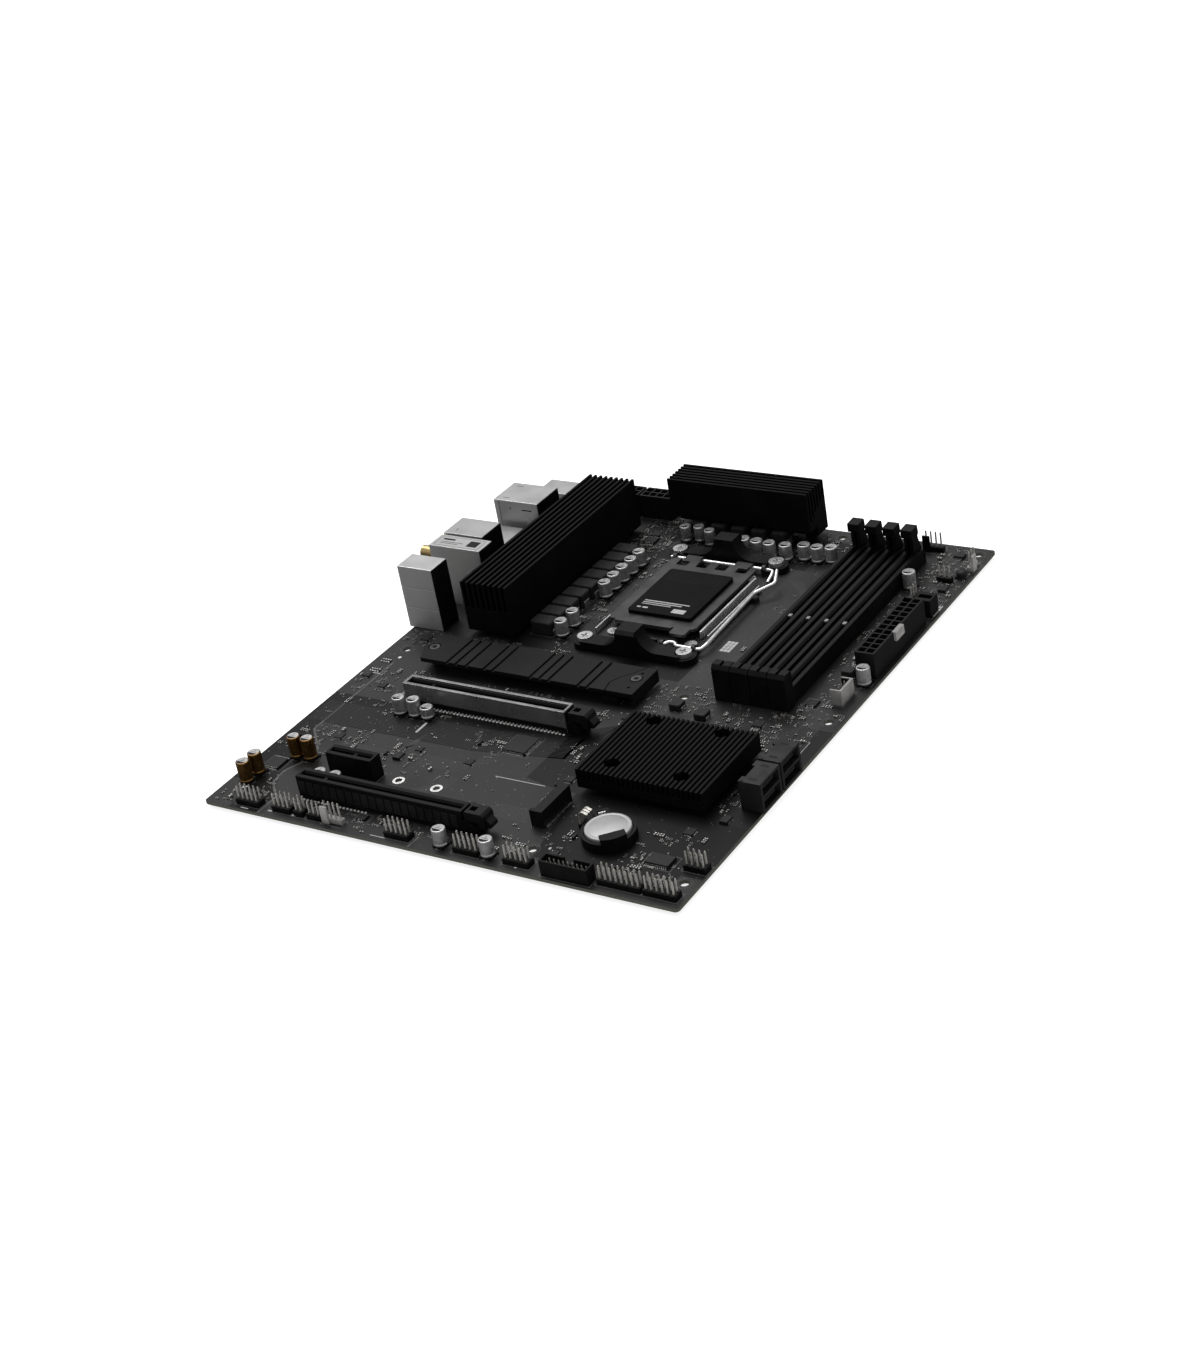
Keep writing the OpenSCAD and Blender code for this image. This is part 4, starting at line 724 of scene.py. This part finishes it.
# Slotted faces of the two screws that hold the drive heatsink.
rings = Shape()
for x, y, z in [(31.7, 136.3, 7.38), (143.2, 138, 7.78)]:
    ring_faces(rings, x, y, 1.25, 2.5, z, 0.05)
    ring_faces(rings, x, y, 0.3, 1.2, z, 0.02, 1)
rings.make("drive_screw_faces", [steel_grey, plastic])

pads = Shape()
for x, y in DRIVE_POSTS:
    ring_faces(pads, x, y, 1.62, 2.8, 0, 0.05)
for x, y in CASE_HOLES:
    for k in range(16):
        a = math.radians(22.5 * k + 10)
        pads.prism(disc(x + 3.3 * math.cos(a), y + 3.3 * math.sin(a), 0.22, 8), 0, 0.04, 1)
pads.prism(disc(11.4, 139.2 - 6.2, 0.9, 16), 0, 0.06)
for x0, x1, y in [(44, 130, 96.9), (44, 80, 15.9)]:
    for i in range(int((x1 - x0) / 2)):
        pads.loft([[(x, p, h) for x, p in disc(x0 + 1 + i * 2, y, r, 10)] for r, h in
                   ((0.75, 0), (0.72, 0.15), (0.4, 0.5))])
pads.make("solder_lands", [lead, lead_dull])

# ---------- seeded small parts ----------

UNDER = {"pcb", "backplate", "solder_joints", "thermal_pads", "coin_cell"}
blocked = [(x - 3.4, y - 3.4, x + 3.4, y + 3.4) for x, y in CASE_HOLES + DRIVE_POSTS]
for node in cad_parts:
    if node not in UNDER:
        blocked += [(lo[0], lo[1], hi[0], hi[1]) for lo, hi in islands(node) if hi[2] > 0.1 and lo[2] < 2]
blocked += [(131, 14, 146, 27), (131, 95, 146, 108), (178, 274, 219, 290), (95, 174, 156, 256)]


def is_free(x0, y0, x1, y1, gap=0.25):
    if x0 < 1 or y0 < 1 or x1 > BOARD_W - 1 or y1 > BOARD_L - 1:
        return False
    return not any(x0 - gap < b[2] and x1 + gap > b[0] and y0 - gap < b[3] and y1 + gap > b[1]
                   for b in blocked)


small = Shape()
CERAMIC, GLAZE, RESIN, TIN = range(4)


def two_end(x, y, length, width, h, turned, body):
    """A brick with a soldered cap at each end."""
    def put(u0, u1, v, z0, z1, mat, draft):
        lo, hi = ((x + u0, y - v), (x + u1, y + v)) if not turned else ((x - v, y + u0), (x + v, y + u1))
        small.box((*lo, z0), (*hi, z1), mat, draft)
    half, w = length / 2, width / 2
    put(-half * 0.62, half * 0.62, w * 0.94, 0.03, h, body, 0.02)
    put(-half, -half * 0.5, w, 0, h * 1.04, TIN, 0.06)
    put(half * 0.5, half, w, 0, h * 1.04, TIN, 0.06)


def three_leg(x, y, turned):
    """A transistor with one leg on one side and two on the other."""
    half_x, half_y = (1.5, 0.7) if not turned else (0.7, 1.5)
    small.box((x - half_x, y - half_y, 0.1), (x + half_x, y + half_y, 1.0), RESIN, 0.12)
    for k in (-1, 0, 1):
        out = -1 if k else 1
        cx, cy = (x + k * 0.95, y + out * 1.05) if not turned else (x + out * 1.05, y + k * 0.95)
        small.box((cx - 0.22 - 0.13 * turned, cy - 0.35 + 0.13 * turned, 0),
                  (cx + 0.22 + 0.13 * turned, cy + 0.35 - 0.13 * turned, 0.28), TIN, 0.06)


def flat_pack(x, y, half_x, half_y, h, sides):
    """A small chip with a dot for its first lead."""
    small.box((x - half_x, y - half_y, 0.05), (x + half_x, y + half_y, h), RESIN, 0.07)
    small.prism(disc(x - half_x + 0.5, y + half_y - 0.5, 0.16, 8), h - 0.01, h + 0.015, TIN)
    leads(small, x - half_x, y - half_y, x + half_x, y + half_y, 0.65, sides, 0.5, 0.28, h * 0.5, TIN)


KINDS = [  # draws up to this share, length, width, height, body material or kind
    (0.50, 1.0, 0.5, 0.38, GLAZE), (0.78, 1.0, 0.55, 0.5, CERAMIC), (0.86, 1.6, 0.8, 0.5, GLAZE),
    (0.94, 1.6, 0.8, 0.8, CERAMIC), (0.965, 2.0, 1.25, 1.1, CERAMIC), (0.985, 3.0, 2.6, 1.0, "three"),
    (1.0, 4.2, 4.2, 0.9, "pack"),
]


def scatter(x0, y0, x1, y1, count):
    """Parts on a half-millimetre grid, in short rows of equal parts as a layout has them."""
    placed, tries = 0, 0
    while placed < count and tries < count * 5:
        tries += 1
        x = round(dice.uniform(x0, x1) * 2) / 2
        y = round(dice.uniform(y0, y1) * 2) / 2
        share, turned = dice.random(), dice.random() < 0.5
        _, length, width, h, kind = next(k for k in KINDS if share <= k[0])
        row = dice.choice((1, 1, 2, 3, 4)) if length < 1.7 else 1
        step = width + 0.5
        for i in range(row):
            cx, cy = (x, y + i * step) if not turned else (x + i * step, y)
            a, b = (length / 2, width / 2) if not turned else (width / 2, length / 2)
            if not is_free(cx - a, cy - b, cx + a, cy + b):
                break
            if kind == "three":
                three_leg(cx, cy, turned)
            elif kind == "pack":
                flat_pack(cx, cy, 1.6, 1.6, 0.85, "wesn")
            else:
                two_end(cx, cy, length, width, h, turned, kind)
            blocked.append((cx - a, cy - b, cx + a, cy + b))
            placed += 1


for y in (128, 119):
    for i in range(4):
        x = 5 + i * 1.4
        two_end(x, y, 2.6, 0.9, 0.6, True, GLAZE)
        blocked.append((x - 0.6, y - 1.4, x + 0.6, y + 1.4))
for x, y, a, b, h, sides in [
    (209.2, 130, 2.4, 2.4, 1.0, "wesn"), (203, 119, 1.9, 2.5, 1.3, "we"), (196, 122, 2, 2, 0.9, "wesn"),
    (222, 262, 2.5, 2.5, 0.9, "wesn"), (236, 262, 1.9, 2.5, 1.4, "we"), (230, 294, 2.5, 1.9, 1.4, "sn"),
    (70, 278, 2.4, 2.4, 0.9, "wesn"), (66, 58, 1.9, 2.5, 1.4, "we"), (100.5, 64, 2, 2, 0.9, "wesn"),
    (20, 108, 2, 2, 0.9, "wesn"), (36, 112, 1.9, 2.5, 1.4, "we"), (14, 152, 2.2, 2.2, 0.9, "wesn"),
    (152, 66, 2, 2, 0.9, "wesn"), (150, 118, 2.4, 2.4, 0.9, "wesn"), (232, 60, 1.9, 2.5, 1.4, "we"),
    (222, 48, 2.2, 2.2, 0.9, "wesn"), (120, 104, 2, 1.6, 0.9, "sn"), (28, 64, 2, 2, 0.9, "wesn"),
    (62, 13.5, 2.2, 1.6, 1, "sn"), (120, 14, 2.2, 1.6, 1, "sn"), (176, 16, 2, 2, 0.9, "wesn"),
]:
    if is_free(x - a - 0.6, y - b - 0.6, x + a + 0.6, y + b + 0.6):
        flat_pack(x, y, a, b, h, sides)
        blocked.append((x - a - 0.6, y - b - 0.6, x + a + 0.6, y + b + 0.6))
for x, y in [(22, 23), (21, 16), (26, 13), (37, 11), (81, 7), (86, 6), (20, 62), (39, 69), (39, 62),
             (58, 56), (63, 61), (73, 60), (17, 111), (21, 106), (31, 94), (38, 89), (96, 77), (99, 81),
             (104, 81), (105, 71), (141, 91), (65, 95), (37, 123), (69, 122), (83, 123), (137, 115),
             (43, 160), (59, 160), (83, 165), (85, 160), (176, 28), (207, 23), (211, 22), (217, 39),
             (222, 137), (221, 148), (227, 158), (226, 183), (222, 220), (89, 236), (91, 225),
             (79, 252), (240, 146)]:
    scatter(x - 3, y - 3, x + 3, y + 3, 9)
for *region, count in [
    (190, 110, 235, 142, 190), (218, 234, 243, 303, 250), (60, 256, 82, 292, 150), (76, 188, 92, 208, 34),
    (14, 9.5, 132, 15, 90), (2, 143, 27, 160, 60), (60, 107, 160, 124, 110), (2, 100, 42, 124, 60),
    (148, 96, 160, 148, 60), (156, 268, 179, 300, 70), (2, 46, 42, 71, 60), (58, 46, 130, 70, 30),
    (100, 26, 154, 54, 14), (146, 10, 180, 30, 40), (204, 12, 232, 44, 60), (218, 146, 231, 232, 90),
    (141, 78, 160, 95, 34), (225, 62, 233, 110, 34), (28, 148.6, 92, 161, 60), (86, 256, 160, 282, 60),
    (86, 238, 95, 256, 20), (158, 128, 180, 150, 50), (158, 150, 179, 268, 26), (3, 3, 14, 12, 16),
    (20, 290, 32, 303, 24), (70, 292, 77, 303, 24), (2, 74, 60, 96, 20), (66, 74, 106, 92, 12),
]:
    scatter(*region, count)
small.make("small_parts", [ceramic, resistor, resin, lead])

vias = Shape()
VIA_GRID = 0.6
for _ in range(1500):
    x = round(dice.uniform(2, BOARD_W - 2) / VIA_GRID) * VIA_GRID
    y = round(dice.uniform(2, BOARD_L - 2) / VIA_GRID) * VIA_GRID
    if is_free(x - 0.2, y - 0.2, x + 0.2, y + 0.2, 0.1):
        vias.prism(disc(x, y, 0.2 if dice.random() < 0.8 else 0.42, 8), COPPER_TOP, 0.04)
vias.make("via_caps", lead_dull)

# ---------- small can, coil and fan headers ----------

small_can = Shape()
can_shape(small_can, 27, 177, 4.2, 5.2)
small_can.make("small_can", [plastic, can_metal, can_top, plastic_grey])
coil = Shape()
coil.box((236.4, 273.6, 0.05), (241.6, 278.8, 1.2), 0, 0.2)
coil.lathe((239, 276.2, 0),
           [(0, 1.1), (2.4, 1.1), (2.55, 1.6), (2.5, 2.6), (2.1, 3.2), (1.3, 3.5), (0, 3.6)], 1)
coil.make("dome_coil", [resin, ferrite])

headers = Shape()
for (x0, y0, _), (x1, y1, top) in islands("fan_headers"):
    mat = 1 if 200 < x0 < 225 else 0
    if top < 8:
        headers.box((x0, y0, 0), (x1, y1, 1.8), mat)
        # A dark floor and dark linings on two inner walls are painted shade in the well around the pins,
        # also inside pale shrouds.
        headers.box((x0 + 0.4, y0 + 0.8, 1.7), (x1 - 1.1, y1 - 0.8, 4.2), 1)
        headers.box((x1 - 1.3, y0 + 0.8, 4), (x1 - 1.1, y1 - 0.8, top - 0.35), 1)
        headers.box((x0 + 0.1, y1 - 1.05, 4), (x1 - 1.1, y1 - 0.8, top - 0.35), 1)
        headers.box((x1 - 1.15, y0, 1.7), (x1, y1, top), mat)
        for y in (y0, y1 - 0.85):
            headers.box((x0, y, 1.7), (x1 - 1.1, y + 0.85, top), mat)
        for y in (y0 + 3.4, y1 - 4.6):
            headers.box((x0, y, 1.7), (x0 + 0.8, y + 1.2, 4.4), mat)
    elif x1 - x0 > y1 - y0:
        headers.box((x0, y0 + 1.2, 0), (x1, y1, 2.5), mat)
        headers.box((x0, y0, 0), (x0 + 3.8, y0 + 1.22, top), mat, draft=0.06)
        for x in (x0 + 2.3, x0 + 4.84, x0 + 7.38):
            headers.box((x, y0 + 1.2, 2.45), (x + 0.5, y1, 2.62), mat)
    else:
        headers.box((x0, y0, 0), (x1 - 1.2, y1, 2.5), mat)
        headers.box((x1 - 1.22, y0, 0), (x1, y0 + 3.8, top), mat, draft=0.06)
headers.make("fan_header_set", [plastic_pale, plastic], stands_for=["fan_headers"], bevel=0.1)

# ---------- slots ----------

MEMORY_X = [184.7 + 9.3 * i for i in range(4)]
MEMORY_KEY_Y = 208
UPPER_SLOT_Y, LOWER_SLOT_Y, SHORT_SLOT_Y = 101.7, 20.5, 40.7

blades = Shape()
for x in MEMORY_X:
    for k in range(146):
        y = 153.6 + 0.85 * k
        if abs(y - MEMORY_KEY_Y) > 1.6:
            for s in (-1, 1):
                blades.box((x + s * 0.66 - 0.07, y - 0.22, 2.4), (x + s * 0.66 + 0.07, y + 0.22, 5.4))
for y_mid, first, count in ((UPPER_SLOT_Y, 44.2, 82), (LOWER_SLOT_Y, 44.2, 82), (SHORT_SLOT_Y, 45.2, 18)):
    for k in range(count):
        x = first + k
        if abs(x - first - 11.9) > 1.4:
            for y in (y_mid - 0.86, y_mid + 0.86):
                blades.box((x - 0.28, y - 0.07, 4), (x + 0.28, y + 0.07, 7.6))
blades.make("slot_blades", gold)

tips = Shape()
for x in MEMORY_X:
    tips.box((x - 0.9, MEMORY_KEY_Y - 1.1, 8.4), (x + 0.9, MEMORY_KEY_Y + 1.1, 8.68), 0, 0.1)
tips.box((240.6, 199.4, 8.6), (243.0, 207.4, 12.95), 0, 0.1)
tips.make("key_tips", plastic_pale, bevel=0.08)

# Panels along the lower slot's sides and the feet of the covered slot.
ribs = Shape()
for i in range(20):
    x = 44.6 + i * 4.3
    for y in (LOWER_SLOT_Y - 3.6, LOWER_SLOT_Y + 3.6):
        ribs.box((x - 1.75, y - 0.14, 2.2), (x + 1.75, y + 0.14, 8.9), 0, 0.04)
ribs.box((42.2, 97.45, 0.02), (130.4, 97.75, 3.2), 2)
for i in range(42):
    ribs.box((43.4 + i * 2, 97.2, 0.02), (44.2 + i * 2, 97.5, 0.9), 1)
ribs.make("slot_side_ribs", [plastic_sheen, lead, plastic])

# ---------- socket wires and tabs ----------

bend = Shape()
bend.tube(rounded([(149.2, HINGE_Y, 4), (151.5, HINGE_Y - 0.2, 4.1), (152.4, HINGE_Y - 3.6, 3.4),
                   (152.4, HINGE_Y - 8, 1.9)], 1.2), 0.85, n=14)
for x in (102, 120, 139):
    loop = [(-1.3, 3.2), (-1.5, 4.2), (0, 5.1), (1.4, 4.2), (1.5, 3.3)]
    bend.tube([(x, HINGE_Y + y, z) for y, z in loop], 0.28, n=8)
bend.make("hinge_wire_bends", bright)

# ---------- rear connectors ----------

rear = Shape()


def ribbed(x, y0, y1, z1, count):
    """A black moulded housing behind a shell, with upright ribs."""
    rear.box((x - 0.3, y0, 0), (x + 0.25, y1, z1))
    for i in range(count):
        y = y0 + (i + 0.5) * (y1 - y0) / count
        rear.box((x + 0.2, y - 0.35, 0.6), (x + 0.55, y + 0.35, z1 - 0.5), 0, 0.05)


ribbed(18.1, 160.6, 173.4, 33.3, 5)
ribbed(21, 199.8, 215.8, 31.7, 6)
ribbed(24.5, 243.2, 262.3, 28.7, 7)
ribbed(16, 220.6, 239.4, 16, 7)
ribbed(16, 280.2, 293.8, 15.3, 5)
ribbed(28, 186.9, 197.7, 31.3, 4)
# Label with a thin printed border on the wireless shield.
rear.box((-0.9, 187.3, 31.68), (26.9, 197.3, 31.74), 1)
for x0, x1, y0, y1 in [(0, 26, 187.9, 188.1), (0, 26, 196.5, 196.7), (0, 0.2, 187.9, 196.7),
                       (25.8, 26, 187.9, 196.7), (2, 9, 193.4, 194.9), (2, 15, 191.4, 191.8),
                       (2, 13, 190, 190.4), (18, 24, 189.6, 195)]:
    rear.box((x0, y0, 31.73), (x1, y1, 31.77), 2)
# Folded seams and cuts in the shells' sides.
for y, z1 in [(243, 29), (199.6, 32), (220.4, 16), (280, 15.5)]:
    rear.box((0.7, y - 0.05, 0.4), (0.85, y + 0.2, z1 - 0.4))
    rear.box((-1.9, y - 0.12, 0.4), (0.6, y + 0.2, z1 - 0.3), 3)
for x0, x1, z0, z1 in [(7, 8, 24.6, 25.2), (14.5, 20.5, 24.3, 24.9), (8, 13, 8.4, 9)]:
    rear.box((x0, 242.94, z0), (x1, 243.1, z1))
rear.prism([(4.5, 242.93), (17.5, 242.93), (17.5, 243.1), (4.5, 243.1)], 1.5, 7.6, 4)
for x0, x1, y0, y1, z in [(2, 6, 246, 246.4, 29), (2, 6, 259, 259.4, 29), (3, 3.4, 203, 205, 32)]:
    rear.box((x0, y0, z - 0.05), (x1, y1, z + 0.02))
rear.make("rear_housings", [plastic, paper, plastic_grey, tin, dark_steel], bevel=0.05)

ports = Shape()
# Rims of the three audio jacks and threads of the two antenna posts.
for z in (5.8, 16.8, 27.8):
    ports.skin([ring_about_x(x, 167, z, r, 28) for r, x in
                [(3.7, -3.5), (3.7, -3.62), (3.3, -3.68), (2.1, -3.62), (1.95, -3.4)]])
for z in (11, 24):
    for k in range(11):
        x = -10.6 + k * 0.6
        ports.skin([ring_about_x(x + dx, 192.3, z, r, 24) for r, dx in
                    [(3.08, 0.34), (3.24, 0.2), (3.24, 0.12), (3.08, 0)]], 1)
# Contacts on the port tongues and in the network jack, and its two lamps.
for y0, z, count, pitch in [
    (203.4, 6.52, 4, 2.3), (203.4, 13.72, 4, 2.3), (282.8, 6.22, 4, 2.3), (282.8, 13.22, 4, 2.3),
    (223.8, 6.82, 4, 2.3), (223.8, 14.02, 4, 2.3), (248, 7.22, 10, 1.0), (247.8, 22.02, 10, 1.0),
]:
    for i in range(count):
        w = pitch * 0.24
        ports.box((0.6, y0 + i * pitch, z - 0.05), (9, y0 + i * pitch + 2 * w, z + 0.06), 1)
for i in range(8):
    y = 204.2 + i * 1.02
    ports.tube([(0.5, y, 27.6), (5, y, 26.4), (9.6, y, 23.6)], 0.14, 1, 8)
for y in (202.3, 211.9):
    ports.box((-2.0, y, 27.4), (-1.4, y + 1.6, 28.9), 2)
ports.make("port_contacts", [bright, gold, plastic_pale])

sata = Shape()
for y0 in (69.6, 87.2):
    for z in (1.2, 7.6):
        for i in range(7):
            y = y0 + 4.1 + i * 1.27
            sata.box((237.4, y, z + 3.06), (242.6, y + 0.6, z + 3.2))
    sata.box((234.4, y0 - 0.02, 13.7), (236.6, y0 + 1.2, 14.02), 1)
    for y in (y0 + 2.2, y0 + 12.6):
        sata.box((237.6, y, 13.85), (241.6, y + 1.6, 14.03), 1, 0.1)
sata.make("drive_port_contacts", [gold, plastic_grey])

feet = Shape()
for x0, x1, y0, y1 in [(161.4, 162.6, 32.4, 35), (161.4, 162.6, 49, 51.6), (139.6, 140.6, 127.4, 130),
                       (139.6, 140.6, 143, 145.6)]:
    feet.box((x0, y0, 0), (x1, y1, 0.35), 0, 0.1)
for x, y_mid, z in ((155.2, 42, 2.6), (131.4, 136.4, 2.6)):
    for k in range(36):
        y = y_mid - 8.9 + k * 0.5
        feet.box((x + 0.3, y, z - 0.05), (x + 1.7, y + 0.24, z + 0.05), 1)
for k in range(34):
    feet.box((161.5, 33.6 + k * 0.5, 0), (162.5, 33.84 + k * 0.5, 0.18))
feet.make("drive_socket_leads", [lead, gold])

# ---------- floor, lights, camera ----------

floor_mesh = bpy.data.meshes.new("floor")
reach = 12.0
floor_mesh.from_pydata([(-reach, -reach, 0), (reach, -reach, 0), (reach, reach, 0), (-reach, reach, 0)],
                       [], [(0, 1, 2, 3)])
floor_finish = surface("studio_floor", grey(0.62), grey(0.65), 0.9, spec=0.05, patch=400, grain=30)
floor_mesh.materials.append(floor_finish)
glow = floor_finish.node_tree.nodes["Principled BSDF"].inputs
glow["Emission Color"].default_value = (1, 1, 1, 1)
glow["Emission Strength"].default_value = 0.8
floor = link("floor", floor_mesh)
floor.visible_glossy = False

sun_data = bpy.data.lights.new("soft_key", "SUN")
sun_data.energy = 2.3
sun_data.angle = math.radians(44)
sun_way = Vector((-0.35, 0.3, 1.0))
link("soft_key", sun_data).rotation_euler = sun_way.to_track_quat("Z", "Y").to_euler()

# A dome that is bright above and dim below the horizon.
world = bpy.data.worlds.new("studio")
world.use_nodes = True
tree = world.node_tree
split = tree.nodes.new("ShaderNodeSeparateXYZ")
tree.links.new(tree.nodes.new("ShaderNodeTexCoord").outputs["Generated"], split.inputs[0])
sky = tree.nodes["Background"].inputs
sky["Color"].default_value = (1, 1, 1, 1)
tree.links.new(remapped(tree, split.outputs["Z"], (-0.25, 0.45), (0.10, 0.52)), sky["Strength"])
bpy.context.scene.world = world
bpy.context.scene.view_settings.view_transform = "Standard"

AZIMUTH, ELEVATION, ROLL = (math.radians(a) for a in (37.08, 29.47, -10.456))
VIEW_DISTANCE = 1054.0
TARGET = at(122.2, 138.3)
camera_data = bpy.data.cameras.new("camera")
camera_data.lens = 60.87
camera_data.sensor_width = 36
camera_data.clip_end = 30
camera = link("camera", camera_data)
back = Vector((math.cos(ELEVATION) * math.sin(AZIMUTH), -math.cos(ELEVATION) * math.cos(AZIMUTH),
               math.sin(ELEVATION)))
level = Vector((0, 0, 1)).cross(back).normalized()
upward = back.cross(level)
right = level * math.cos(ROLL) + upward * math.sin(ROLL)
up = -level * math.sin(ROLL) + upward * math.cos(ROLL)
camera.matrix_world = Matrix.Translation(TARGET + back * VIEW_DISTANCE * MM) @ Matrix(
    (right, up, back)).transposed().to_4x4()
bpy.context.scene.camera = camera
